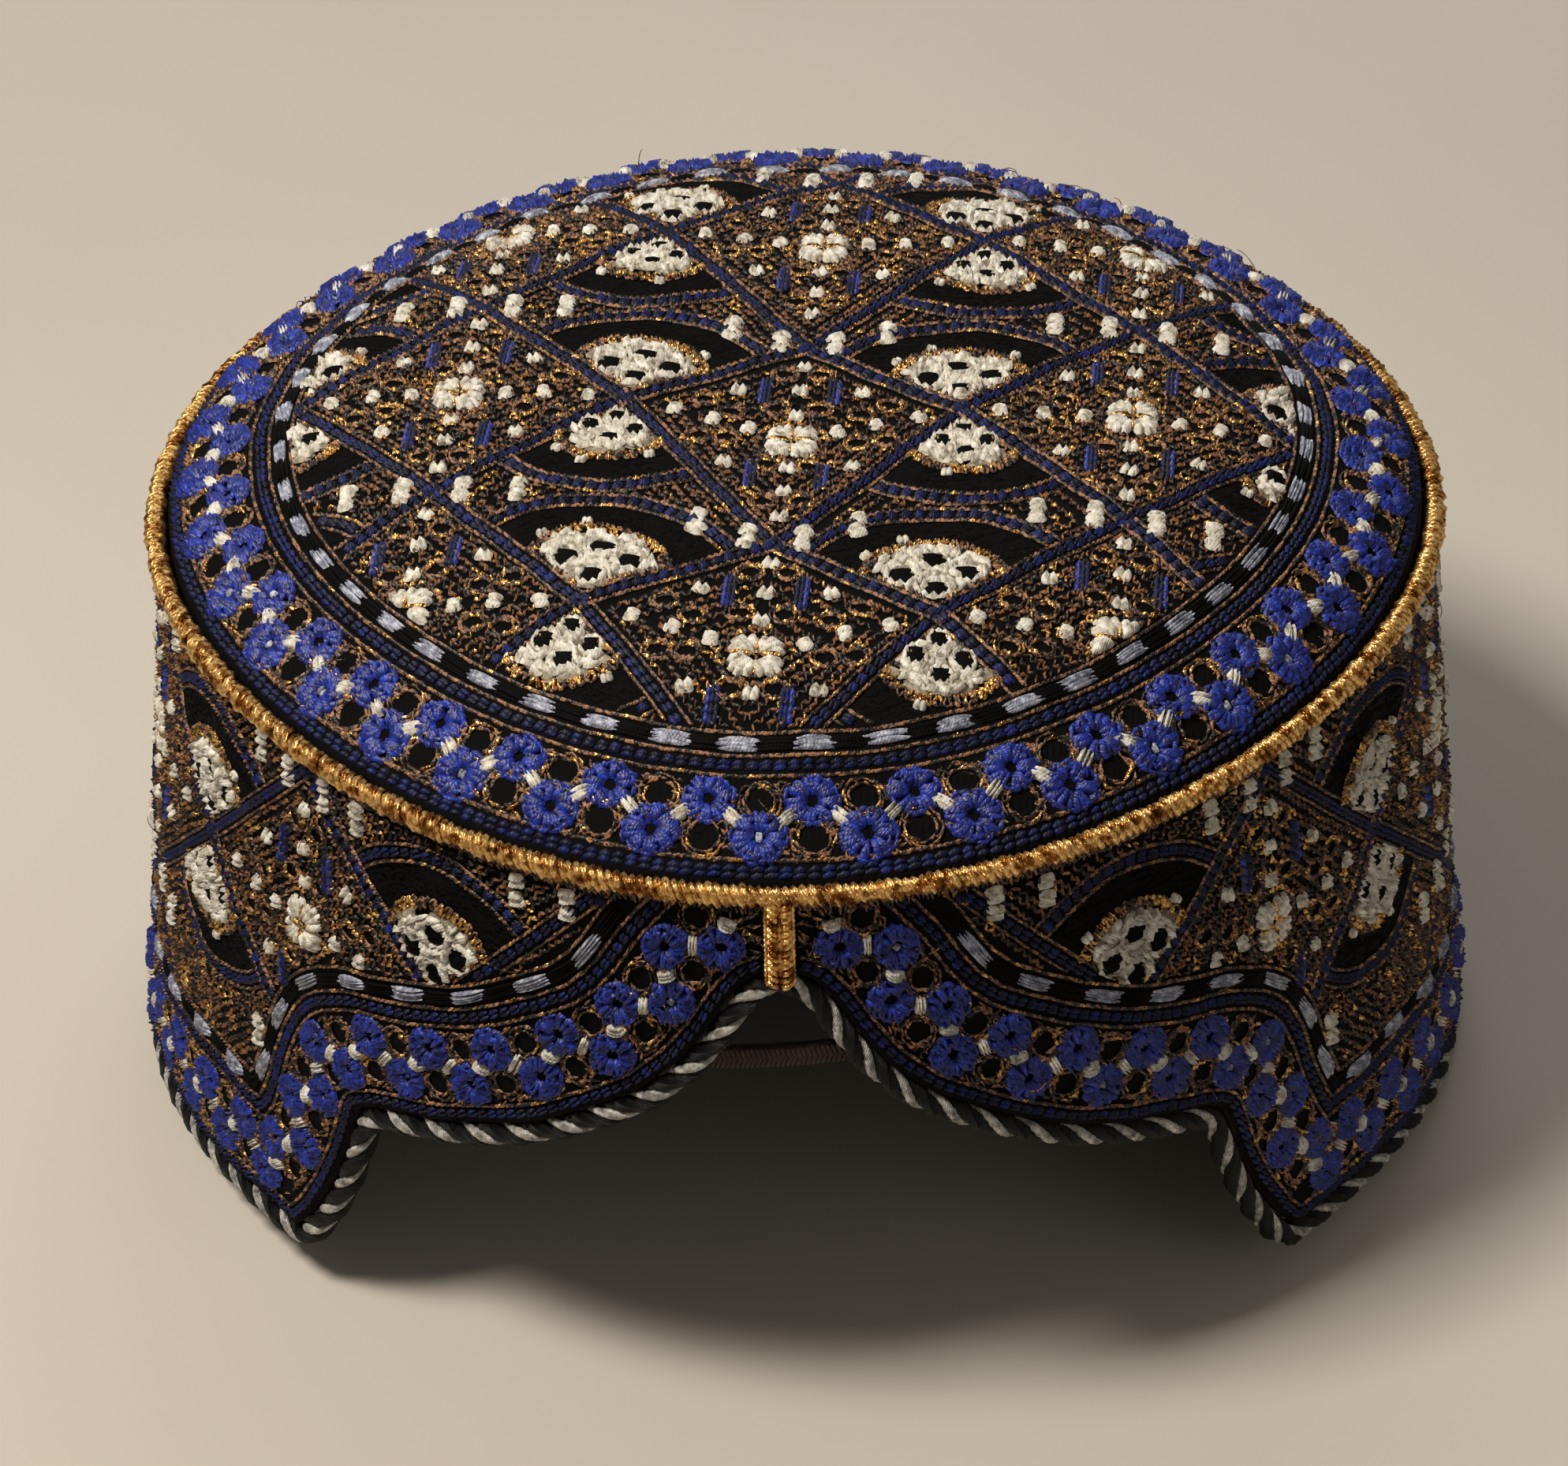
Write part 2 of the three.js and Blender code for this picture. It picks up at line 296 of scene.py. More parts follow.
def satin_dot(th, C, T, length, width, lift=1.0, n=3, cols=5):
    """A small padded dot of parallel threads."""
    C, T = np.asarray(C, float), np.asarray(T, float)
    if len(C) == 0:
        return
    N = left(T)
    for k in range(n):
        o = (k - (n - 1) / 2) / max(n, 1)
        half = length / 2 * math.sqrt(max(1 - (1.5 * o) ** 2, .35)) * (1 + jit(len(C), .12))
        c = C + N * (o * width) + N * jit(len(C), .06)[:, None] + T * jit(len(C), .10)[:, None]
        th.straight(c - T * half[:, None], c + T * half[:, None], width / n * 1.35, -.25, lift + jit(len(C), .12) - .15 * abs(o), 5, cols, jit(len(C), .05))


def rosettes(th, lit_hole_dot, C, T, rt, rr, lit_hole_share=.5):
    """Buttonhole wheels: radial threads round a small hole, with loops lying over them; some holes get a light grey
    dot, which is painted light standing for light showing through the hole.
    """
    C, T = np.asarray(C, float), np.asarray(T, float)
    n = len(C)
    if n == 0:
        return
    N = left(T)
    M = 24
    ph = rng.uniform(0, TAU, n)
    a = ph[:, None] + (np.arange(M)[None] + rng.uniform(-.28, .28, (n, M))) * TAU / M
    tw = a + rng.uniform(-.30, .30, (n, M))
    r0 = .72 + rng.uniform(-.12, .16, (n, M))
    r1 = 1 + rng.uniform(-.07, .07, (n, M))
    def at(ang, r, ratio):
        x, y = np.cos(ang) * r * (rt if ratio else 1), np.sin(ang) * r * (rr if ratio else 1)
        return C[:, None] + T[:, None] * x[..., None] + N[:, None] * y[..., None]
    A, B = at(a, r0, False), at(tw, r1, True)
    th.straight(B.reshape(-1, 2), A.reshape(-1, 2), (.98 + rng.uniform(-.16, .16, (n, M))).ravel(), -.30, (1.05 + rng.uniform(-.26, .22, (n, M))).ravel(), 4, 3, rng.uniform(-.18, .18, n * M))
    L = 14
    b = ph[:, None] + (np.arange(L)[None] + rng.uniform(-.3, .3, (n, L))) * TAU / L
    rad = rng.uniform(.86, .97, (n, L))
    A = at(b - .27, rad, True)
    B = at(b + .27, rad + rng.uniform(-.05, .05, (n, L)), True)
    th.straight(A.reshape(-1, 2), B.reshape(-1, 2), .72 + jit(n * L, .1), -.25, .98 + jit(n * L, .2), 3, 3, -.12)
    L = 9
    b = rng.uniform(0, TAU, (n, L))
    rad = rng.uniform(.42, .78, (n, L))
    A = at(b - .32, rad, True)
    B = at(b + .32, rad + rng.uniform(-.14, .14, (n, L)), True)
    th.straight(A.reshape(-1, 2), B.reshape(-1, 2), .62 + jit(n * L, .1), .30, .66 + jit(n * L, .18), 3, 3, rng.uniform(-.3, .15, n * L))
    # light grey dots in some holes: painted light, for light showing through the hole
    pick = rng.random(n) < lit_hole_share
    satin_dot(lit_hole_dot, C[pick], N[pick], 1.1, .8, .45, 2, 3)


def rings(th, gold, C, T, rt, rr, share=.14):
    """Open cells: a black middle with a ring of thin brown threads."""
    C, T = np.asarray(C, float), np.asarray(T, float)
    n = len(C)
    if n == 0:
        return
    N = left(T)
    for M, f, w in ((10, .80, .46), (10, 1.06, .42)):
        a = rng.uniform(0, TAU, n)[:, None] + (np.arange(M)[None] + rng.uniform(-.25, .25, (n, M))) * TAU / M
        half = TAU / M * .62
        def at(ang, r):
            return C[:, None] + T[:, None] * (np.cos(ang) * r * rt)[..., None] + N[:, None] * (np.sin(ang) * r * rr)[..., None]
        A = at(a - half, f + rng.uniform(-.10, .13, (n, M))).reshape(-1, 2)
        B = at(a + half, f + rng.uniform(-.10, .13, (n, M))).reshape(-1, 2)
        g = rng.random(n * M) < share
        th.straight(A[~g], B[~g], w + jit((~g).sum(), .06), -.30, .62 + jit((~g).sum(), .12), 3, 3, -.14)
        gold.straight(A[g], B[g], w, -.26, .66, 3, 3, -.14)


def zigzag(th, gold, P, amp, step, keep, w, lift, share, h0=-.34, closed=False):
    """One row of zigzag couching."""
    C, T = resample(P, step, closed)
    if len(C) < 2:
        return
    N = left(T)
    sgn = np.where(np.arange(len(C)) % 2 == 0, 1, -1)
    X = C + N * (amp * sgn * (1 + jit(len(C), .35)))[:, None] + T * jit(len(C), step * .28)[:, None]
    A, B = X[:-1], X[1:]
    mid = (A + B) / 2
    ok = keep(mid)
    tone = np.sin(mid[:, 0] * .71 + 1.3 * np.sin(mid[:, 1] * .33)) * np.sin(mid[:, 1] * .57 + .9) + jit(len(mid), .8)
    g = tone > np.quantile(tone, 1 - share) if len(tone) else tone > 9
    for t, m in ((th, ok & ~g), (gold, ok & g)):
        k = m.sum()
        t.straight(A[m], B[m], w + jit(k, .07), h0 + jit(k, .04), lift + jit(k, .14), 3, 3, jit(k, .18))


# ------------------------------------------------------------------ the pattern's motifs
def unit(v):
    return v / max(np.linalg.norm(v), 1e-9)


HOLES = np.array([(.1, 10.3, 1.60, 1.25), (3.7, 7.9, 1.45, 1.40), (-3.6, 7.4, 1.45, 1.40), (0, 4.7, 1.40, 1.20)])


def fan(k, o, dl, dr, keep, dots=True):
    """White fan with four holes at a crossing, its gold edge, black crescent and blue arc.
    o: crossing, dl and dr: directions of the two pattern lines beside it."""
    dl, dr = unit(dl), unit(dr)
    ax = unit(dl + dr)
    sx = np.array([ax[1], -ax[0]])
    if sx @ dr < 0:
        sx = -sx
    al = math.acos(np.clip(dl @ ax, -1, 1))
    ar = math.acos(np.clip(dr @ ax, -1, 1))

    def rf(psi):
        t = np.abs(psi) / np.where(psi < 0, al, ar)
        return 13.1 - 3.0 * t ** 2.3

    def loc(X):
        d = X - o
        a, b = d @ sx, d @ ax
        return a, b, np.hypot(a, b), np.arctan2(a, b)

    def glob(a, b):
        return o + np.asarray(a)[..., None] * sx + np.asarray(b)[..., None] * ax

    def line_gap(rho, psi):
        return np.minimum(rho * np.sin(np.clip(al + psi, -1.5, 1.5)), rho * np.sin(np.clip(ar - psi, -1.5, 1.5)))

    open_by = np.array([min(1.12, math.tan(min(al if ha < 0 else ar, 1.1)) / math.tan(.80)) for ha, _, _, _ in HOLES])
    holes = HOLES * np.stack([open_by, np.ones(4), np.minimum(open_by, 1), np.ones(4)], 1)

    def in_hole(a, b, grow):
        m = np.zeros(a.shape, bool)
        for ha, hb, hw, hl in holes:
            m |= ((a - ha) / (hw + grow)) ** 2 + ((b - hb) / (hl + grow)) ** 2 < 1
        return m

    def in_fan(a, b, gap=1.75, out=0.1):
        rho, psi = np.hypot(a, b), np.arctan2(a, b)
        return (rho < rf(psi) + out) & (line_gap(rho, psi) > gap) & (b > .5)

    # white: a flat layer of wide threads in darker grey-beige, painted shade between the curls, then curly white ones
    # over it
    for lay, step, ln, w, h0, lift, grow, cols in (("under", .98, 2.3, 1.35, -.32, .45, .20, 3), ("white", 1.02, 2.1, .66, -.05, 1.0, .36, 3)):
        g = np.stack(np.meshgrid(np.arange(-9, 9.1, step), np.arange(1, 15, step)), -1).reshape(-1, 2)
        g = g + rng.uniform(-.35, .35, g.shape)
        ang = rng.uniform(-.9, .9, len(g)) + np.where(rng.random(len(g)) < .5, 0, 1.2)
        near = ((g[:, None, 0] - holes[None, :, 0]) ** 2 + (g[:, None, 1] - holes[None, :, 1]) ** 2)
        h = holes[near.argmin(1)]
        tang = np.arctan2(g[:, 1] - h[:, 1], g[:, 0] - h[:, 0]) + math.pi / 2
        ang = np.where(near.min(1) < 7.5, tang + rng.uniform(-.45, .45, len(g)), ang)
        half = (ln / 2 * (1 + jit(len(g), .25)))[:, None] * np.stack([np.cos(ang), np.sin(ang)], -1)
        A, B = g - half, g + half
        ok = in_fan(g[:, 0], g[:, 1], 2.0, -.2) & in_fan(A[:, 0], A[:, 1], 1.2, .5) & in_fan(B[:, 0], B[:, 1], 1.2, .5)
        ok &= ~in_hole(g[:, 0], g[:, 1], grow) & ~in_hole(A[:, 0], A[:, 1], .3) & ~in_hole(B[:, 0], B[:, 1], .3)
        G, A, B = glob(*g[ok].T), glob(*A[ok].T), glob(*B[ok].T)
        kk = keep(G)
        k[lay].straight(A[kk], B[kk], w + jit(kk.sum(), .1), h0, lift + jit(kk.sum(), .26), 4, cols, jit(kk.sum(), .30))
    for ha, hb, hw, hl in holes:
        a = np.arange(9) * TAU / 9 + rng.uniform(0, 1)
        rr = .42
        A = glob(ha + np.cos(a - .42) * (hw + rr), hb + np.sin(a - .42) * (hl + rr))
        B = glob(ha + np.cos(a + .42) * (hw + rr), hb + np.sin(a + .42) * (hl + rr))
        kk = keep(A)
        k["white"].straight(A[kk], B[kk], .74, -.25, 1.0 + jit(kk.sum(), .14), 3, 3, -.12)
        g = glob(np.array([ha]), np.array([hb]))
        kk = keep(g)
        satin_dot(k["black"], g[kk], np.tile(sx, (kk.sum(), 1)), hw * 2.4, hl * 2.2, .62, 3, 3)
    # gold zigzag round the fan's outer end and down its sides
    t = np.linspace(-.93, .93, 90)
    psi = np.where(t < 0, t * al, t * ar)
    for extra, amp, stp, col in ((.95, .80, .52, .62), (1.65, .35, .60, .30)):
        P = glob(np.sin(psi) * (rf(psi) + extra), np.cos(psi) * (rf(psi) + extra))
        zigzag(k["brown"], k["gold"], P, amp, stp, keep, .46, .70, col, -.28)
    for sgn, aa in ((-1, al), (1, ar)):
        rho = np.linspace(3.0, 11.2, 20)
        ps = sgn * (aa - np.arcsin(np.clip(1.75 / rho, 0, .95)))
        P = glob(np.sin(ps) * rho, np.cos(ps) * rho)
        zigzag(k["brown"], k["gold"], P, .25, .60, keep, .42, .62, .30, -.28)
    if dots:
        for tt in (-.66, -.24, .20, .62):
            if rng.random() < .55:
                ps = tt * (al if tt < 0 else ar)
                c = glob(np.array([math.sin(ps) * (rf(np.array(ps)) + 2.35)]), np.array([math.cos(ps) * (rf(np.array(ps)) + 2.35)]))
                kk = keep(c)
                satin_dot(k["white"], c[kk], np.tile(unit(c[0] - o), (kk.sum(), 1)), 1.35, 1.3, .85, 2, 5)
    # black crescent, filled with dull black threads
    gx, gy = np.meshgrid(np.arange(-21, 21, 1.05), np.arange(2, 21, .95))
    g = np.stack([gx.ravel(), gy.ravel()], -1) + rng.uniform(-.4, .4, (gx.size, 2))
    rho, psi = np.hypot(g[:, 0], g[:, 1]), np.arctan2(g[:, 0], g[:, 1])
    ok = (rho < 18.9) & (rho > rf(psi) + 2.2) & (line_gap(rho, psi) > 1.9) & (np.abs(psi) < np.where(psi < 0, al, ar))
    G = glob(*g[ok].T)
    kk = keep(G)
    G = G[kk]
    v = np.stack([np.cos(jit(len(G), .6)), np.sin(jit(len(G), .6))], -1) * .9
    k["black"].straight(G - v, G + v, .62, -.42, .34 + jit(len(G), .12), 3, 3, jit(len(G), .2))
    # arc lines
    for rad, kind in ((19.45, "cord"), (20.6, "beads"), (21.75, "cord")):
        lim = math.asin(min(1.6 / rad, 1))
        psi = np.linspace(-(al - lim), ar - lim, 60)
        P = glob(np.sin(psi) * rad, np.cos(psi) * rad)
        if kind == "cord":
            thin_cord(k["brown"], P, keep, .46, gold=k["gold"])
        else:
            bead_line(k["navy"], P, keep)


def flower(k, c, ux, uy, keep):
    """Four-petalled white flower with a gold cross."""
    if not keep(c[None])[0]:
        return
    for sx in (-1, 1):
        for sy in (-1, 1):
            m = unit(sx * ux * .95 + sy * uy)
            n = np.array([-m[1], m[0]])
            for o, ln in ((-1.05, 2.6), (-.35, 3.4), (.35, 3.4), (1.05, 2.6)):
                A = c + m * (.55 + abs(o) * .3) + n * o * .60
                B = c + m * (.65 + ln) + n * o * 1.55
                if keep((B + m * .3)[None])[0]:
                    k["white"].straight(A[None], B[None], 1.30, -.25, 1.10 + rng.uniform(-.15, .12), 4, 5, rng.uniform(-.08, .08))
    for d in (ux, uy, -ux, -uy):
        A, B = c + d * .2, c + d * rng.uniform(2.6, 3.4)
        if keep((B + d * .6)[None])[0]:
            k["gold"].straight(A[None], B[None], .42, .30, .50, 4, 3, rng.uniform(-.09, .09))
    a = np.arange(22) * TAU / 22
    P = c + (np.cos(a) * 4.7)[:, None] * ux + (np.sin(a) * 4.8)[:, None] * uy
    zigzag(k["brown"], k["gold"], np.vstack([P, P[:1]]), .40, .75, keep, .46, .62, .35)


def cell_trim(k, c, corners, keep):
    """Dots, bars and open ovals of a flower cell. corners: top, bottom, left, right."""
    T, B, L, R = corners
    vt, vb, vl, vr = (unit(q - c) for q in (T, B, L, R))
    ux = unit(vr - vl)
    uy = unit(vt - vb)
    flower(k, c, ux, uy, keep)
    pts, dirs = [], []
    for v, q in ((vt, T), (vb, B), (vl, L), (vr, R)):
        far = np.linalg.norm(q - c)
        for d in (6.3, 11.5, 17.3):
            if d < far - 2.5:
                pts.append(c + v * d)
                dirs.append(unit(v + .3 * rng.uniform(-1, 1, 2)))
    for vy in (vt, vb):
        for vx in (vl, vr):
            pts.append(c + vx * 8.9 + vy * 8.6)
            dirs.append(unit(uy + .5 * rng.uniform(-1, 1, 2)))
    pts, dirs = np.array(pts), np.array(dirs)
    ok = keep(pts)
    satin_dot(k["white"], pts[ok], dirs[ok], 2.1, 1.9, 1.05, 2, 3)
    for vy in (vt, vb):
        for vx in (vl, vr):
            m = c + vx * 4.9 + vy * 9.8
            for o in (-.55, .0, .55):
                h = 3.1 - abs(o) * .8
                A, Bb = m + ux * o - uy * h, m + ux * o + uy * h
                if keep(m[None])[0]:
                    for q in range(4):
                        f0, f1 = q / 4, (q + 1.06) / 4
                        k["blue" if o * vx[0] > 0 else "navy"].straight((A + (Bb - A) * f0)[None], (A + (Bb - A) * f1)[None], .80, -.3, .85 + rng.uniform(-.1, .1), 4, 3, .05)
    ov = []
    for vy in (vt, vb):
        for vx in (vl, vr):
            ov += [c + vx * 9.2 + vy * 3.2, c + vx * 3.0 + vy * 6.6, c + vx * 13.2 + vy * 4.3, c + vx * 2.6 + vy * 14.6]
    ov = np.array(ov)
    return ov


def pair_dots(k, node, vl, vr, uy, keep):
    """Two dots, one over the other, beside a line crossing: vl and vr lead along the gap between the arcs."""
    for v in (unit(vl), unit(vr)):
        for s in (3.9, 11.2):
            for q in (-1.30, 1.30):
                c = node + v * s + uy * q
                ok = keep(c[None])
                satin_dot(k["white"], c[None][ok], (v[None] + uy[None] * rng.uniform(-.2, .2))[ok], 2.5, 2.0, 1.1, 2, 3)


def ground(k, c, corners, keep, skip, margin=2.0, spacing=1.16):
    """Nested rows of zigzag couching that follow the cell's four sides."""
    T, B, L, R = corners
    loop = [T, R, B, L]
    side = unit(R - T)
    dist = abs(side[0] * (T - c)[1] - side[1] * (T - c)[0])
    side2 = unit(B - R)
    dist = min(dist, abs(side2[0] * (R - c)[1] - side2[1] * (R - c)[0]))
    rows = int((dist - margin) / spacing)
    for r in range(rows + 1):
        f = 1 - (margin + r * spacing) / dist
        if f < .04:
            break
        for a, b in ((0, 1), (1, 2), (2, 3), (3, 0)):
            A, Bq = c + (loop[a] - c) * f, c + (loop[b] - c) * f
            P = A + (Bq - A) * np.linspace(0, 1, 12)[:, None]
            P = P + left(np.tile(unit(Bq - A), (12, 1))) * (.22 * np.sin(np.linspace(0, 9, 12) + r * 2.1 + a))[:, None]
            zigzag(k["ground"], k["gold"], P, .42, .72, lambda X: keep(X) & skip(X), .42, .62, .085)


def open_ovals(k, ov, ux, keep):
    ov = ov[keep(ov)] if len(ov) else ov
    if len(ov):
        rings(k["brown"], k["gold"], ov, np.tile(ux, (len(ov), 1)), 1.75, 1.35, .25)


def kit(wrap):
    return {n: Threads(wrap) for n in ("blue", "navy", "white", "under", "black", "brown", "ground", "gold", "grey")}


# ------------------------------------------------------------------ crown
K = kit(wrap_crown)
turn = math.radians(-4.44)
ROT = np.array([[math.cos(turn), -math.sin(turn)], [math.sin(turn), math.cos(turn)]])
CU, CV = ROT @ np.array([1.0, 0]), ROT @ np.array([0, 1.0])
MIDDLE = [(-2, -9.0), (-1, -9.5), (-.5, -10.5), (0, -9.2), (.5, -9.0), (1, -5.0), (2, -4.0)]


def node(i, j):
    p = ROT @ np.array([i * 22.2, j * 44.4]) + np.array([.25, -.6])
    if i == 0:
        p = p + np.array([0, np.interp(j, [m[0] for m in MIDDLE], [m[1] for m in MIDDLE])])
    return p


def share(P):
    return np.hypot(P[:, 0], P[:, 1]) / plan_radius(np.degrees(np.arctan2(P[:, 0], -P[:, 1])))


def inner_crown(P):
    return share(P) < .772


any_place = lambda P: np.ones(len(P), bool)
lines = []
for i in range(-4, 5):
    for jj in range(-4, 5):
        j = jj / 2
        if (i % 2 == 0) != (jj % 2 != 0):
            continue
        for di in (-1, 1):
            if abs(i + di) <= 4:
                lines.append((node(i, j), node(i + di, j + .5)))
for A, B in lines:
    P = A + (B - A) * np.linspace(0, 1, 30)[:, None]
    bead_line(K["navy"], P, inner_crown)
    for s in (-1.15, 1.15):
        thin_cord(K["brown"], shifted(P, s), inner_crown, .46, gold=K["gold"])

ovals = []
for i in range(-4, 5):
    for jj in range(-5, 6):
        j = jj / 2
        if i % 2 == 0 and jj % 2 == 0:
            c = node(i, j)
            cs = (node(i, j + .5), node(i, j - .5), node(i - 1, j), node(i + 1, j))
            if np.linalg.norm(c) > 92:
                continue
            ov = cell_trim(K, c, cs, inner_crown)
            ok = np.array([np.linalg.norm(q) for q in ov]) < 63
            ov = ov[ok]
            open_ovals(K, ov, CU, inner_crown)
            skip = (lambda o: lambda X: (np.min(np.hypot((X[:, None, 0] - o[None, :, 0]) / 1.9, (X[:, None, 1] - o[None, :, 1]) / 1.5), 1) > 1) if len(o) else np.ones(len(X), bool))(ov)
            ground(K, c, cs, inner_crown, skip)
        elif i % 2 == 0:
            if np.linalg.norm(node(i, j)) < 90:
                o = node(i, j)
                pair_dots(K, o, (node(i - 1, j + .5) + node(i - 1, j - .5)) / 2 - o, (node(i + 1, j + .5) + node(i + 1, j - .5)) / 2 - o, CV, inner_crown)
        elif jj % 2 == 0:
            o = node(i, j)
            if np.linalg.norm(o) > 88:
                continue
            fan(K, o, node(i - 1, j + .5) - o, node(i + 1, j + .5) - o, inner_crown)
            fan(K, o, node(i - 1, j - .5) - o, node(i + 1, j - .5) - o, inner_crown)
        else:
            t, b = node(i, j + .5), node(i, j - .5)
            c = (t + b) / 2
            if np.linalg.norm(c) > 92:
                continue
            cs = (t, b, node(i - 1, j), node(i + 1, j))
            skip = (lambda t, b: lambda X: (np.linalg.norm(X - t, axis=1) > 22.3) & (np.linalg.norm(X - b, axis=1) > 22.3))(t, b)
            ground(K, (cs[2] + cs[3]) / 2, cs, inner_crown, skip)


def ring_curve(sh):
    d = np.arange(-180, 180, .5)
    r = plan_radius(d) * sh
    return np.stack([r * np.sin(np.radians(d)), -r * np.cos(np.radians(d))], -1)


# dashes, lines and rosettes round the crown
for sh in (.779, .815, .845, .955):
    thin_cord(K["brown"], ring_curve(sh), any_place, .50, True, gold=K["gold"])
thin_cord(K["brown"], ring_curve(.903), any_place, .40, True, .40, gold=K["gold"], share=.2)
for sh in (.830, .969):
    bead_line(K["navy"], ring_curve(sh), any_place, 1.3, 1.7, True)
for d0, name in ((0, "grey"), (180 / 48, "black")):
    for kk in range(48):
        d = d0 + kk * 360 / 48 + rng.uniform(-.4, .4) + 3.38
        half = 180 / 48 * (.56 if name == "grey" else .54)
        for o in (-.60, -.20, .20, .60):
            dd = np.linspace(d - half + rng.uniform(-.45, .45), d + half + rng.uniform(-.45, .45), 5)
            r = plan_radius(dd) * .797 + o + rng.uniform(-.12, .12)
            P = np.stack([r * np.sin(np.radians(dd)), -r * np.cos(np.radians(dd))], -1)
            K[name].strips(P[None], .55, -.25, (.85 if name == "grey" else .5) + rng.uniform(-.12, .12), 3)


def polar(d, r):
    d = np.radians(np.asarray(d, float))
    return np.stack([r * np.sin(d), -r * np.cos(d)], -1)


def tang(d):
    d = np.radians(np.asarray(d, float))
    return np.stack([np.cos(d), np.sin(d)], -1)


kk = np.arange(38)
d_in, d_out = 3.0 + kk * 9.4737, 7.74 + kk * 9.4737
R_IN, R_OUT = .880, .928
rosettes(K["blue"], K["grey"], polar(d_in, plan_radius(d_in) * R_IN), tang(d_in), 3.40, 2.75, .12)
rosettes(K["blue"], K["grey"], polar(d_out, plan_radius(d_out) * R_OUT), tang(d_out), 3.60, 2.80, .45)
rings(K["brown"], K["gold"], polar(d_out, plan_radius(d_out) * R_IN), tang(d_out), 2.35, 2.0)
rings(K["brown"], K["gold"], polar(d_in, plan_radius(d_in) * R_OUT), tang(d_in), 2.45, 2.0)
mid_d = np.arange(76) * 4.73685 + 3.0 + 2.368
lean = np.where(np.arange(76) % 2 == 0, 1, -1)
m = polar(mid_d, plan_radius(mid_d) * (R_IN + R_OUT) / 2)
tv, nv = tang(mid_d), left(tang(mid_d))
satin_dot(K["white"], m, tv * .80 - nv * (.60 * lean)[:, None], 2.9, 1.3, 1.30, 3, 3)
RING_AT = np.vstack([polar(d_out, plan_radius(d_out) * R_IN), polar(d_in, plan_radius(d_in) * R_OUT)])
BLUE_AT = np.vstack([polar(d_in, plan_radius(d_in) * R_IN), polar(d_out, plan_radius(d_out) * R_OUT)])

# ------------------------------------------------------------------ band
W = kit(wrap_band)


def band_top(P):
    return P[:, 1] < 83.3


def inner_band(P):
    return (P[:, 1] < 83.2) & (P[:, 1] > lifted(P[:, 0] / ARC, 24.3)) & ((np.abs(P[:, 0]) > 2.6) | (P[:, 1] < 70))


BU, BV = np.array([1.0, 0]), np.array([0, 1.0])
cols = [0, 30.4, 62.5] + [62.5 + 33.5714 * q for q in range(1, 7)] + [-62.5, -30.4]
cols = sorted(((c + 180) % 360 - 180) for c in cols)
ZC, ZT, ZB = 59.3, 82.6, 36.0
n_col = len(cols)
for q in range(n_col):
    a = cols[q]
    prv, nxt = cols[q - 1], cols[(q + 1) % n_col]
    if q == 0:
        prv -= 360
    if q == n_col - 1:
        nxt += 360
    u0, ul, ur = a * ARC, (a + prv) / 2 * ARC, (a + nxt) / 2 * ARC
    o = np.array([u0, ZC])
    tl, tr, bl, br = (np.array(v) for v in ((ul, ZT), (ur, ZT), (ul, ZB), (ur, ZB)))
    for e in (tl, tr, bl, br):
        P = o + (e - o) * np.linspace(0, 1, 30)[:, None]
        bead_line(W["navy"], P, inner_band)
        for s in (-1.15, 1.15):
            thin_cord(W["brown"], shifted(P, s), inner_band, .46, gold=W["gold"])
    low_o = np.array([u0, ZC - 46.6])
    for e in (bl, br):
        P = low_o + (e - low_o) * np.linspace(0, 1, 30)[:, None]
        bead_line(W["navy"], P, inner_band)
        for s in (-1.15, 1.15):
            thin_cord(W["brown"], shifted(P, s), inner_band, .46, gold=W["gold"])
    fan(W, o, tl - o, tr - o, inner_band)
    fan(W, o, bl - o, br - o, inner_band)
    # flower cell to the right of this column
    c = np.array([ur, ZC])
    nx = np.array([nxt * ARC, ZC])
    cs = (tr, br, o, nx)
    ov = cell_trim(W, c, cs, inner_band)
    ok = inner_band(ov)
    ov = ov[ok]
    open_ovals(W, ov, BU, inner_band)
    skip = (lambda o: lambda X: (np.min(np.hypot((X[:, None, 0] - o[None, :, 0]) / 1.9, (X[:, None, 1] - o[None, :, 1]) / 1.5), 1) > 1) if len(o) else np.ones(len(X), bool))(ov)
    ground(W, c, cs, inner_band, skip)
    pair_dots(W, tr - BV * 2.2, -BU, BU, BV, inner_band)
    pair_dots(W, br, -BU, BU, BV, inner_band)
    # the rest of the cells above, below and between
    for s, e1, e2 in ((1, tl, tr), (-1, bl, br)):
        far = o + BV * s * 46.6
        skip = (lambda a, b: lambda X: (np.linalg.norm(X - a, axis=1) > 22.3))(o, far)
        cc = (e1 + e2) / 2
        ground(W, cc, (far, o, e1, e2) if s > 0 else (o, far, e1, e2), inner_band, skip)
    ground(W, br - BV * 23.3, (br, br - BV * 46.6, low_o, np.array([nxt * ARC, low_o[1]])), inner_band, any_place)

# border that follows the lower edge
d_fine = np.arange(-180, 180, .1)


def offset_curve(lift):
    return np.stack([d_fine * ARC, lifted(d_fine, lift)], -1)


def clear(P):
    return (P[:, 1] < 83.4) & (np.abs(P[:, 0]) > 2.7)


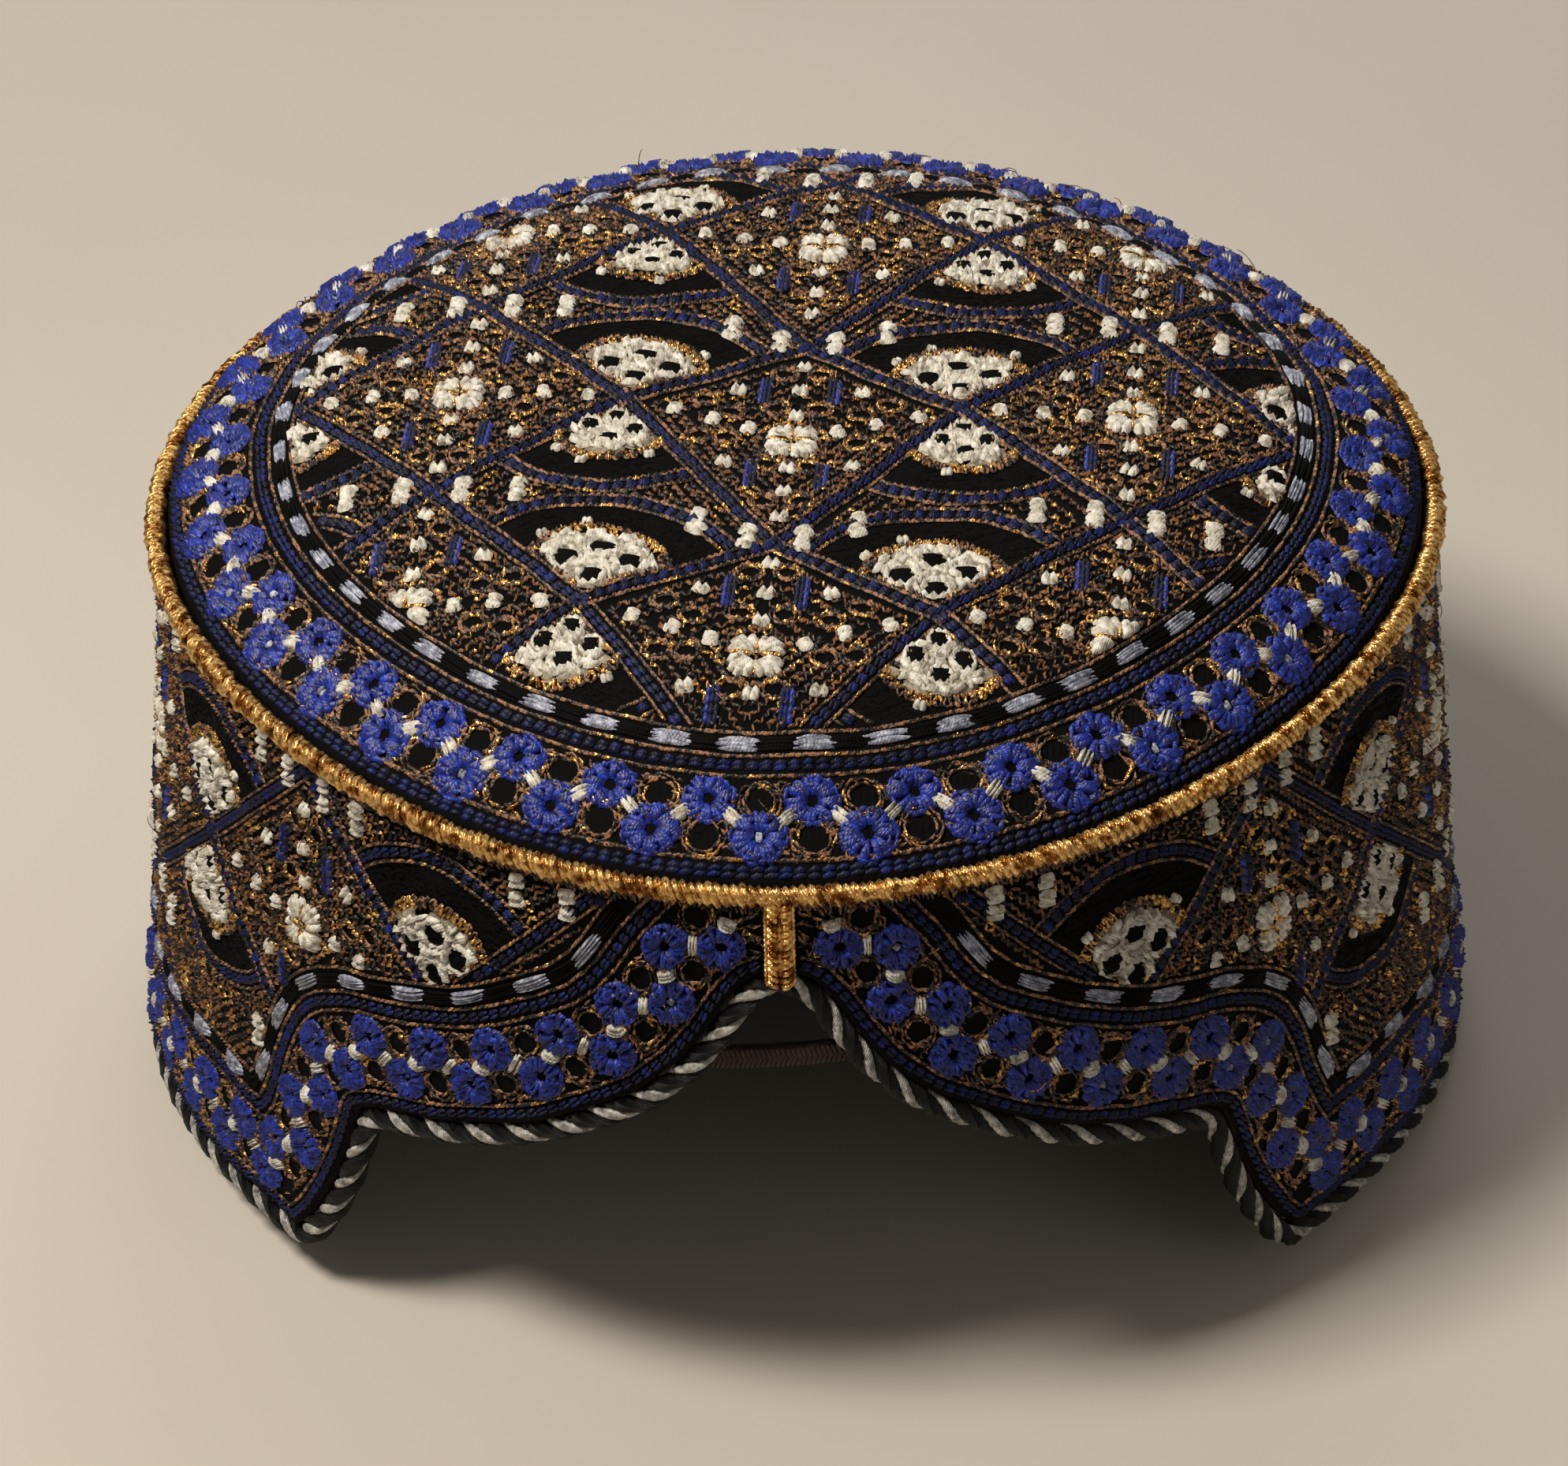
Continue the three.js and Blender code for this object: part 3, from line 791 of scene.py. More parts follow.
for lift in (17.8, 20.4, 23.6):
    thin_cord(W["brown"], offset_curve(lift), clear, .50, gold=W["gold"])
thin_cord(W["brown"], offset_curve(12.2), clear, .40, lift=.4, gold=W["gold"], share=.2)
thin_cord(W["brown"], offset_curve(6.6), clear, .50, gold=W["gold"])
bead_line(W["navy"], offset_curve(5.4), clear, 1.2, 1.7)
bead_line(W["navy"], offset_curve(19.1), clear, 1.3, 1.7)
C, T = resample(offset_curve(22.0), 5.45)
N = left(T)
for q in range(len(C)):
    name = "grey" if q % 2 else "black"
    half = 2.9 if name == "grey" else 2.75
    for o in (-.60, -.20, .20, .60):
        t = np.linspace(-half + rng.uniform(-.5, .5), half + rng.uniform(-.5, .5), 5)
        u = C[q, 0] + T[q, 0] * t - T[q, 1] * (o + rng.uniform(-.1, .1))
        if abs(u[2] / ARC) > 179:
            continue
        z = np.interp(u, d_fine * ARC, lifted(d_fine, 22.0)) + o + rng.uniform(-.1, .1) if abs(T[q, 1]) < .5 else C[q, 1] + T[q, 1] * t + T[q, 0] * o
        P = np.stack([u, z], -1)
        if clear(P[[0, 2, 4]]).all():
            W[name].strips(P[None], .55, -.25, (.85 if name == "grey" else .5) + rng.uniform(-.12, .12), 3)

mid = offset_curve(12.2)
seg = np.linalg.norm(np.diff(mid, axis=0), axis=1)
s_all = np.r_[0, np.cumsum(seg)]
s_mid = np.interp(0, d_fine, s_all)
COL = 5.65
n_right = int((s_all[-1] - s_mid) / COL)
pitch_r = (s_all[-1] - s_mid) / (n_right + .5)
blue_c, blue_t, ring_c, ring_t, bar_c, bar_t = [], [], [], [], [], []
for sgn in (-1, 1):
    for q in range(0, n_right + 1):
        for half_step in (0, .5):
            s = s_mid + sgn * (q + half_step + .72) * pitch_r
            if s < 0 or s > s_all[-1]:
                continue
            u, z = np.interp(s, s_all, mid[:, 0]), np.interp(s, s_all, mid[:, 1])
            e = 1.6
            t = unit(np.array([np.interp(min(s + e, s_all[-1]), s_all, mid[:, 0]) - np.interp(max(s - e, 0), s_all, mid[:, 0]),
                               np.interp(min(s + e, s_all[-1]), s_all, mid[:, 1]) - np.interp(max(s - e, 0), s_all, mid[:, 1])]))
            n = np.array([-t[1], t[0]])
            c = np.array([u, z])
            if half_step:
                lean = sgn * (1 if q % 2 == 0 else -1)
                if c[1] < 81.5 and abs(c[0]) > 3.6:
                    bar_c.append(c)
                    bar_t.append(unit(t * .75 + n * .66 * lean))
                continue
            up, dn = c + n * 2.45, c - n * 2.45
            a, b = (up, dn) if q % 2 == 0 else (dn, up)
            if a[1] < 81.2 and abs(a[0]) > 4.6:
                blue_c.append(a)
                blue_t.append(t)
            if b[1] < 81.8 and abs(b[0]) > 4.2:
                ring_c.append(b)
                ring_t.append(t)
rosettes(W["blue"], W["grey"], np.array(blue_c), np.array(blue_t), 3.20, 2.95, .12)
rings(W["brown"], W["gold"], np.array(ring_c), np.array(ring_t), 2.15, 2.05)
satin_dot(W["white"], np.array(bar_c), np.array(bar_t), 2.8, 1.25, 1.30, 3, 3)


def scribble(k, centre, tangent, half, n, keep, blue_c, ring_c):
    """Loose short brown threads between the wheels of a border."""
    q = rng.integers(0, len(centre), n)
    C = centre[q] + left(tangent[q]) * rng.uniform(-half, half, n)[:, None]
    ok = keep(C)
    for i0 in range(0, len(blue_c), 200):
        ok &= (np.linalg.norm(C[:, None] - blue_c[None, i0:i0 + 200], axis=2).min(1) > 2.7)
    ok &= (np.linalg.norm(C[:, None] - ring_c[None], axis=2).min(1) > 2.0)
    C, T = C[ok], tangent[q][ok]
    a = rng.uniform(-.9, .9, len(C))
    v = T * np.cos(a)[:, None] + left(T) * np.sin(a)[:, None]
    ln = rng.uniform(.45, .95, len(C))[:, None]
    g = rng.random(len(C)) < .12
    for t, m in ((k["brown"], ~g), (k["gold"], g)):
        t.straight(C[m] - v[m] * ln[m], C[m] + v[m] * ln[m], .40, -.34, .50 + jit(m.sum(), .14), 3, 3, jit(m.sum(), .3))


cc, ct = resample(offset_curve(12.0), .3)
scribble(W, cc, ct, 4.9, 6400, clear, np.array(blue_c), np.array(ring_c))

cc, ct = resample(ring_curve(.904), .3, True)
scribble(K, cc, ct, 4.0, 4600, any_place, BLUE_AT, RING_AT)

# short dark brown wraps just under the seam cord: real stitches, which also make the dark band there that is partly the
# cord's own shade (painted shade)
d = np.arange(-180, 180, .42)
A = np.stack([d * ARC + jit(len(d), .2), 84.6 + jit(len(d), .2)], -1)
B = np.stack([d * ARC + .35 + jit(len(d), .2), 82.6 + jit(len(d), .35)], -1)
ok = (np.abs(A[:, 0]) > 2.0)
W["brown"].straight(A[ok], B[ok], .55, -.5, .75, 3, 3)


# ------------------------------------------------------------------ tubes
def tube(path, radius, sides, closed, ref):
    """Round strand along a path; ref gives a direction that is never along it."""
    path = np.asarray(path, float)
    M = len(path)
    if closed:
        t = np.roll(path, -1, 0) - np.roll(path, 1, 0)
    else:
        t = np.gradient(path, axis=0)
    t /= np.linalg.norm(t, axis=1, keepdims=True)
    n1 = ref - (ref * t).sum(1, keepdims=True) * t
    n1 /= np.linalg.norm(n1, axis=1, keepdims=True)
    n2 = np.cross(t, n1)
    a = np.arange(sides) * TAU / sides
    r = np.broadcast_to(np.asarray(radius, float), (M,))
    V = path[:, None] + (n1[:, None] * np.cos(a)[None, :, None] + n2[:, None] * np.sin(a)[None, :, None]) * r[:, None, None]
    i = np.arange(M if closed else M - 1)
    j = np.arange(sides)
    I, J = np.meshgrid(i, j, indexing="ij")
    I2, J2 = (I + 1) % M, (J + 1) % sides
    Q = np.stack([I * sides + J, I * sides + J2, I2 * sides + J2, I2 * sides + J], -1).reshape(-1, 4)
    step = np.linalg.norm(np.diff(path, axis=0), axis=1)
    s = np.r_[0, np.cumsum(step)]
    uv = np.stack([np.broadcast_to(a[None] * r[:, None], (M, sides)), np.broadcast_to(s[:, None], (M, sides))], -1)
    return V.reshape(-1, 3), Q, uv.reshape(-1, 2)


def joined(parts):
    V, Q, UV, n = [], [], [], 0
    for v, q, uv in parts:
        V.append(v)
        Q.append(q + n)
        UV.append(uv)
        n += len(v)
    return np.concatenate(V), np.concatenate(Q), np.concatenate(UV)


def even_loop(P, step):
    P = np.vstack([P, P[:1]])
    s = np.r_[0, np.cumsum(np.linalg.norm(np.diff(P, axis=0), axis=1))]
    n = int(s[-1] / step)
    at = np.arange(n) * s[-1] / n
    return np.stack([np.interp(at, s, P[:, k]) for k in range(3)], -1), s[-1]


def outward_of(P):
    r = np.stack([P[:, 0], P[:, 1], 0 * P[:, 0]], -1)
    return r / np.linalg.norm(r, axis=1, keepdims=True)


def strand(core, ref, turns, phase, off, radius, sides, swell=0.0):
    """A strand that winds round a closed core; it can swell on the side that faces out."""
    M = len(core)
    t = np.roll(core, -1, 0) - np.roll(core, 1, 0)
    t /= np.linalg.norm(t, axis=1, keepdims=True)
    n1 = ref - (ref * t).sum(1, keepdims=True) * t
    n1 /= np.linalg.norm(n1, axis=1, keepdims=True)
    n2 = np.cross(t, n1)
    ph = phase + TAU * turns * np.arange(M) / M
    radius = radius + swell * np.maximum(np.cos(ph + .25), 0)
    d = n1 * np.cos(ph)[:, None] + n2 * np.sin(ph)[:, None]
    return tube(core + d * off, radius, sides, True, d)


# ------------------------------------------------------------------ materials
def srgb(r, g, b):
    c = np.array([r, g, b]) / 255
    lin = np.where(c <= .04045, c / 12.92, ((c + .055) / 1.055) ** 2.4)
    return (float(lin[0]), float(lin[1]), float(lin[2]), 1.0)


def thread_mat(name, stops, rough=(.45, .75), metallic=0.0, sheen=0.0, spec=.5, grain=900, ply=True, bump=.35, tint=None, ior=1.5):
    """Thread: tone changes from strand to strand, twist lines run across each strand, fine fibre in the bump. In some
    materials one stop among these tones is painted light (a glint) or painted shade; the comments at those materials
    say which.
    """
    m = bpy.data.materials.new(name)
    m.use_nodes = True
    nt = m.node_tree
    b = nt.nodes["Principled BSDF"]
    b.inputs["Metallic"].default_value = metallic
    b.inputs["Sheen Weight"].default_value = sheen
    b.inputs["Sheen Roughness"].default_value = .45
    b.inputs["Specular IOR Level"].default_value = spec
    b.inputs["IOR"].default_value = ior
    if tint:
        b.inputs["Sheen Tint"].default_value = tint
    tc = nt.nodes.new("ShaderNodeTexCoord")
    n1 = nt.nodes.new("ShaderNodeTexNoise")
    n1.inputs["Scale"].default_value = grain
    n1.inputs["Detail"].default_value = 2.5
    n1.inputs["Roughness"].default_value = .65
    nt.links.new(tc.outputs["Object"], n1.inputs["Vector"])
    cr = nt.nodes.new("ShaderNodeValToRGB")
    el = cr.color_ramp.elements
    pos = np.linspace(.30, .70, len(stops))
    el[0].position, el[0].color = pos[0], stops[0]
    el[1].position, el[1].color = pos[-1], stops[-1]
    for p, c in list(zip(pos, stops))[1:-1]:
        e = el.new(p)
        e.color = c
    nt.links.new(n1.outputs["Fac"], cr.inputs["Fac"])
    nt.links.new(cr.outputs["Color"], b.inputs["Base Color"])
    mr = nt.nodes.new("ShaderNodeMapRange")
    mr.inputs["To Min"].default_value, mr.inputs["To Max"].default_value = rough
    nt.links.new(n1.outputs["Fac"], mr.inputs["Value"])
    nt.links.new(mr.outputs["Result"], b.inputs["Roughness"])
    n2 = nt.nodes.new("ShaderNodeTexNoise")
    n2.inputs["Scale"].default_value = 5200
    n2.inputs["Detail"].default_value = 3
    nt.links.new(tc.outputs["Object"], n2.inputs["Vector"])
    height = n2.outputs["Fac"]
    if ply:
        mp = nt.nodes.new("ShaderNodeMapping")
        mp.inputs["Rotation"].default_value = (0, 0, math.radians(38))
        nt.links.new(tc.outputs["UV"], mp.inputs["Vector"])
        wv = nt.nodes.new("ShaderNodeTexWave")
        wv.inputs["Scale"].default_value = 1.15
        wv.inputs["Distortion"].default_value = 1.6
        wv.inputs["Detail"].default_value = 1.5
        wv.inputs["Detail Scale"].default_value = 2.0
        nt.links.new(mp.outputs["Vector"], wv.inputs["Vector"])
        mx = nt.nodes.new("ShaderNodeMath")
        mx.operation = "MULTIPLY_ADD"
        mx.inputs[1].default_value = .9
        nt.links.new(wv.outputs["Fac"], mx.inputs[0])
        nt.links.new(n2.outputs["Fac"], mx.inputs[2])
        height = mx.outputs["Value"]
    bp = nt.nodes.new("ShaderNodeBump")
    bp.inputs["Strength"].default_value = bump
    bp.inputs["Distance"].default_value = .00012
    nt.links.new(height, bp.inputs["Height"])
    nt.links.new(bp.outputs["Normal"], b.inputs["Normal"])
    return m


M_BLUE = thread_mat("blue_cotton", [srgb(4, 10, 52), srgb(9, 28, 120), srgb(26, 62, 190)], (.34, .55), sheen=.04, spec=.6, grain=1100)
M_NAVY = thread_mat("navy_cotton", [srgb(4, 6, 18), srgb(8, 13, 48), srgb(17, 33, 112)], (.42, .65), spec=.32, grain=700)
# white cotton: the dark bottom stop is painted shade between the threads, spread by the noise; the upper stops are the
# thread's own tone
M_WHITE = thread_mat("white_cotton", [srgb(120, 111, 96), srgb(208, 202, 188), srgb(248, 246, 240)], (.5, .75), sheen=.08, spec=.45, grain=900)
# white under layer darkened to grey-beige: painted shade, seen between the white curls lying over it
M_UNDER = thread_mat("white_under_cotton_painted_shade", [srgb(84, 76, 64), srgb(140, 130, 112), srgb(186, 178, 160)], (.6, .85), spec=.3, grain=900)
# silver grey floss for the dashes; the same material makes the painted hole light in the wheels
M_GREY = thread_mat("silver_grey_floss_and_painted_hole_light", [srgb(66, 68, 82), srgb(134, 138, 156), srgb(212, 216, 228)], (.32, .6), sheen=.05, spec=.6, grain=1000)
M_BLACK = thread_mat("black_floss", [srgb(1, 1, 1), srgb(2, 2, 2), srgb(6, 5, 5)], (.6, .85), spec=.10, grain=1300)
# brown thread: the pale peach fourth stop is a painted glint, scattered by the noise over about a quarter of the
# thread; the other stops are its own tones
M_BROWN = thread_mat("brown_thread_painted_glints", [srgb(7, 5, 4), srgb(22, 14, 10), srgb(46, 30, 20), srgb(180, 128, 88), srgb(40, 25, 16)], (.30, .6), spec=.5, grain=1000)
# brown ground thread: the pale tan fourth stop is a painted glint, scattered by the noise; the other stops are its own
# tones
M_GROUND = thread_mat("brown_ground_thread_painted_glints", [srgb(4, 3, 3), srgb(14, 8, 6), srgb(32, 20, 11), srgb(148, 96, 52), srgb(30, 18, 10)], (.30, .6), spec=.5, grain=760)
# gold metal thread: the pale third stop is a painted glint spread by the noise; the other stops are the metal's own
# tones
M_GOLD = thread_mat("gold_metal_thread_painted_glints", [srgb(44, 24, 8), srgb(138, 90, 36), srgb(255, 206, 128), srgb(150, 92, 34)], (.18, .38), metallic=.85, grain=1300, bump=.6)
# gold cord: the pale third stop is a painted glint spread by the noise; the other stops are the metal's own tones
M_CORD = thread_mat("gold_cord_painted_glints", [srgb(66, 38, 12), srgb(154, 96, 36), srgb(255, 212, 136), srgb(146, 94, 34)], (.18, .36), metallic=.85, grain=520, bump=.5)
M_ROPE = thread_mat("black_rope", [srgb(2, 2, 2), srgb(5, 4, 4), srgb(11, 10, 10)], (.38, .65), spec=.28, grain=900, bump=.8)
M_ROPE_W = thread_mat("white_rope_strand", [srgb(92, 90, 88), srgb(168, 164, 158), srgb(232, 228, 220)], (.35, .65), sheen=.1, grain=800, bump=.7)
M_STRAP = thread_mat("brown_braid", [srgb(24, 12, 10), srgb(52, 28, 22), srgb(78, 44, 34)], (.5, .8), sheen=.1, grain=1600, bump=.6)


def cloth_mat(name, c1, c2, c3, weave=1500, bump=.5):
    """Plain weave: two crossed waves for warp and weft, patchy tone, dull finish."""
    m = bpy.data.materials.new(name)
    m.use_nodes = True
    nt = m.node_tree
    b = nt.nodes["Principled BSDF"]
    b.inputs["Specular IOR Level"].default_value = .12
    tc = nt.nodes.new("ShaderNodeTexCoord")
    n1 = nt.nodes.new("ShaderNodeTexNoise")
    n1.inputs["Scale"].default_value = 260
    n1.inputs["Detail"].default_value = 5
    nt.links.new(tc.outputs["Object"], n1.inputs["Vector"])
    cr = nt.nodes.new("ShaderNodeValToRGB")
    cr.color_ramp.elements[0].position, cr.color_ramp.elements[0].color = .3, c1
    cr.color_ramp.elements[1].position, cr.color_ramp.elements[1].color = .72, c3
    cr.color_ramp.elements.new(.5).color = c2
    nt.links.new(n1.outputs["Fac"], cr.inputs["Fac"])
    nt.links.new(cr.outputs["Color"], b.inputs["Base Color"])
    mr = nt.nodes.new("ShaderNodeMapRange")
    mr.inputs["To Min"].default_value, mr.inputs["To Max"].default_value = .75, .95
    nt.links.new(n1.outputs["Fac"], mr.inputs["Value"])
    nt.links.new(mr.outputs["Result"], b.inputs["Roughness"])
    waves = []
    for ax in ("X", "Z"):
        wv = nt.nodes.new("ShaderNodeTexWave")
        wv.bands_direction = ax
        wv.inputs["Scale"].default_value = weave / 6.28 * 1.6
        wv.inputs["Distortion"].default_value = 1.2
        nt.links.new(tc.outputs["Object"], wv.inputs["Vector"])
        waves.append(wv.outputs["Fac"])
    mx = nt.nodes.new("ShaderNodeMath")
    mx.operation = "MULTIPLY"
    nt.links.new(waves[0], mx.inputs[0])
    nt.links.new(waves[1], mx.inputs[1])
    bp = nt.nodes.new("ShaderNodeBump")
    bp.inputs["Strength"].default_value = bump
    bp.inputs["Distance"].default_value = .00015
    nt.links.new(mx.outputs["Value"], bp.inputs["Height"])
    nt.links.new(bp.outputs["Normal"], b.inputs["Normal"])
    return m


M_BASE = cloth_mat("black_ground_cloth", srgb(1, 1, 1), srgb(3, 2, 2), srgb(7, 5, 5))
M_LINING = cloth_mat("dark_cotton_lining", srgb(24, 18, 16), srgb(38, 29, 25), srgb(54, 42, 36), 1100, .8)


# ------------------------------------------------------------------ cloths
def area_of(ob):
    return sum(p.area for p in ob.data.polygons) / 2


def crown_cloth():
    na = 300
    s_out = np.r_[np.linspace(.012, .9, 26), np.linspace(.915, 1.0, 12)]
    s_in = np.r_[np.linspace(.955, .9, 4), np.linspace(.88, .012, 20)]
    deg = np.arange(na) * 360 / na - 180
    rowsV = []
    def warp(r):
        g = plan_radius(deg) - RIM_R
        return np.where(r > 31, r + g * (r - 30) / 54, r)
    for s in s_out:
        r = warp(np.full(na, s * CROWN_R))
        x, y = r * np.sin(np.radians(deg)), -r * np.cos(np.radians(deg))
        z = crown_z(x, y) - .45
        edge = np.clip((np.hypot(x, y) - 74) / 8, 0, 1)
        rowsV.append(np.stack([x, y, z + uneven(x, y) * (1 - edge)], -1))
    r = warp(np.full(na, CROWN_R))
    rowsV.append(np.stack([r * np.sin(np.radians(deg)), -r * np.cos(np.radians(deg)), np.full(na, SEAM_H - 1.1)], -1))
    r = warp(np.full(na, CROWN_R - 3.4))
    rowsV.append(np.stack([r * np.sin(np.radians(deg)), -r * np.cos(np.radians(deg)), np.full(na, SEAM_H - 1.1)], -1))
    lin0 = len(rowsV)
    for s in s_in:
        r = warp(np.full(na, s * CROWN_R - .6 if s > .4 else s * CROWN_R))
        x, y = r * np.sin(np.radians(deg)), -r * np.cos(np.radians(deg))
        z = np.minimum(SEAM_H + .6 + CROWN_RISE * (1 - s ** CROWN_POWER) - WALL, 96.95)
        rowsV.append(np.stack([x, y, z + .12 * uneven(x, y)], -1))
    V = np.array(rowsV)
    m, n = V.shape[:2]
    I, J = np.meshgrid(np.arange(m - 1), np.arange(n), indexing="ij")
    J2 = (J + 1) % n
    Q = np.stack([I * n + J, (I + 1) * n + J, (I + 1) * n + J2, I * n + J2], -1).reshape(-1, 4)
    idx = (I.ravel() >= lin0 - 1).astype(int)
    V = V.reshape(-1, 3)
    # close the two small middles with quads that share a centre point
    extra, more = [], []
    for row, zz in ((0, None), (m - 1, None)):
        ctr = V[row * n:(row + 1) * n].mean(0)
        V = np.vstack([V, ctr])
        cidx = len(V) - 1
        for j in range(0, n, 2):
            a, b, c = row * n + j, row * n + (j + 1) % n, row * n + (j + 2) % n
            extra.append((cidx, a, b, c) if row == 0 else (cidx, c, b, a))
            more.append(0 if row == 0 else 1)
    return V, np.vstack([Q, np.array(extra)]), np.r_[idx, np.array(more)]


V, Q, idx = crown_cloth()
crown = build("crown_cloth", V, Q, None, [M_BASE, M_LINING], idx)


def band_cloth():
    deg = np.concatenate([np.arange(-180, -52, .6), np.arange(-52, -34, .25), np.arange(-34, 34, .5), np.arange(34, 52, .25), np.arange(52, 180, .6)])
    foot = lifted(deg, 4.1)
    top = np.maximum(82.4, foot + .8)
    rows = []
    for f in np.linspace(0, 1, 18):
        z = foot + (top - foot) * f
        r = band_radius(deg, z) - .6 - .45 + uneven(deg * ARC, z) * min(1, 3 * (1 - f))
        rows.append((r, z))
    rt = plan_radius(deg) - 1.8
    rows.append((rt - .1, np.full(len(deg), 84.2)))
    rows.append((rt - 2.2, np.full(len(deg), 84.2)))
    lin0 = len(rows)
    for f in np.linspace(1, 0, 9):
        z = foot + (top - foot) * f
        r = band_radius(deg, z) - .6 - WALL - .12 * uneven(deg * ARC * .6, z * .6)
        rows.append((r, z))
    V = np.array([np.stack([r * np.sin(np.radians(deg)), -r * np.cos(np.radians(deg)), z], -1) for r, z in rows])
    m, n = V.shape[:2]
    I, J = np.meshgrid(np.arange(m), np.arange(n), indexing="ij")
    I2, J2 = (I + 1) % m, (J + 1) % n
    Q = np.stack([I * n + J, I * n + J2, I2 * n + J2, I2 * n + J], -1).reshape(-1, 4)
    idx = (I.ravel() >= lin0 - 1).astype(int)
    return V.reshape(-1, 3), Q, idx


V, Q, idx = band_cloth()
band = build("band_cloth", V, Q, None, [M_BASE, M_LINING], idx)
for ob, nodes, sl in ((crown, ("crown_top",), "crown_cloth"), (band, ("side_band",), "band_cloth")):
    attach(ob, "root")
    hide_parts(*nodes)

# ------------------------------------------------------------------ thread pieces
total = 0
made_threads = {"crown": [], "band": []}
for where, kk, sl in (("crown", K, "crown_cloth"), ("band", W, "band_cloth")):
    for name, mat in (("blue", M_BLUE), ("navy", M_NAVY), ("white", M_WHITE), ("under", M_UNDER), ("grey", M_GREY), ("black", M_BLACK), ("brown", M_BROWN),
                      ("ground", M_GROUND), ("gold", M_GOLD)):
        ob = kk[name].make(f"{where}_{name}_threads", mat, "gold_thread" if name == "gold" else sl)
        made_threads[where].append(ob)
        print("threads", ob.name, kk[name].tris())
        total += kk[name].tris()
print("threads total", total)

# ------------------------------------------------------------------ seam cord
dd = np.arange(-180, 180, .25)
rr = plan_radius(dd)
core, length = even_loop(np.stack([rr * np.sin(np.radians(dd)), -rr * np.cos(np.radians(dd)), SEAM_H - 1.0 * rear(dd)], -1), .135)
print("seam cord length", length)
turns = int(length / 1.02)
M = len(core)
ref = outward_of(core)
ph = TAU * turns * np.arange(M) / M
wob = np.interp(np.arange(M) / M * turns, np.arange(turns + 1), rng.uniform(-.16, .20, turns + 1))
parts = [tube(core[::16], 1.0, 8, True, ref[::16])]
t = np.roll(core, -1, 0) - np.roll(core, 1, 0)
t /= np.linalg.norm(t, axis=1, keepdims=True)
n2 = np.cross(t, ref)
dvec = ref * np.cos(ph)[:, None] + n2 * np.sin(ph)[:, None]
slant = t * (np.sin(ph + .6) * .45)[:, None]
parts.append(tube(core + dvec * (1.05 + wob)[:, None] + slant, .44 + wob * .35, 5, True, dvec))
V, Q, UV = joined(parts)
seam = build("gold_seam_cord", V, Q, UV, [M_CORD])
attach(seam, "root")
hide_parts("seam_cord")

# ------------------------------------------------------------------ rope edging
dd = np.concatenate([np.arange(-180, -84, .5), np.arange(-84, 84, .08), np.arange(84, 180, .5)])
z = lifted(dd, 1.9) + .17
r = band_radius(dd, z) - .6 - WALL / 2
raw = np.stack([r * np.sin(np.radians(dd)), -r * np.cos(np.radians(dd)), z], -1)
core, length = even_loop(raw, 1.0)
for _ in range(3):
    core = (np.roll(core, 1, 0) + 2 * core + np.roll(core, -1, 0)) / 4
print("rope length", length)
turns = int(round(length / 13.4))
ref = outward_of(core)
bulge = 1.09 + .07 * np.sin(np.arange(len(core)) * 1.9)
parts = [strand(core, ref, turns, 0, .78, bulge, 7), strand(core, ref, turns, math.pi, .78, bulge, 7)]
V, Q, UV = joined(parts)
rope = build("rope_edging_black", V, Q, UV, [M_ROPE])
V, Q, UV = joined([strand(core, ref, turns, math.pi / 2, 1.14, .24, 7, .44), strand(core, ref, turns, -math.pi / 2, 1.14, .24, 7, .44)])
rope_w = build("rope_edging_white", V, Q, UV, [M_ROPE_W])
for ob in (rope, rope_w):
    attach(ob, "root")
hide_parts("rope_edging")

# ------------------------------------------------------------------ front tab and strap
tabk = Threads(lambda P: wall_point(P[..., 0], P[..., 1]) + (P[..., 2] + .6)[..., None] * np.stack([np.sin(np.radians(P[..., 0] / ARC)), -np.cos(np.radians(P[..., 0] / ARC)), 0 * P[..., 0]], -1))
A, B = [], []
for row in np.arange(73.7, 84.9, .92):
    for s in (-1, 1):
        A.append((s * 1.70, row + .62))
        B.append((s * .08, row - .40))
A, B = np.array(A), np.array(B)
tabk.straight(A, B, .84, .15, 1.20 + jit(len(A), .14), 5, 5, .06)
for s in (-1, 1):
    zz = np.arange(73.5, 84.4, .7)
    tabk.straight(np.stack([np.full(len(zz), s * 1.62), zz], -1), np.stack([np.full(len(zz), s * 1.78), zz + .9], -1), .6, .1, .7, 4, 3)
P = np.array([[(x, zz) for zz in (73.4, 76.2, 79.0, 81.8, 84.6)] for x in (-.9, 0, .9)])
tabk.strips(P, 1.5, .1, .45, 5)
tab = tabk.make("gold_front_tab", M_CORD, "gold_thread")
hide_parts("front_tab")


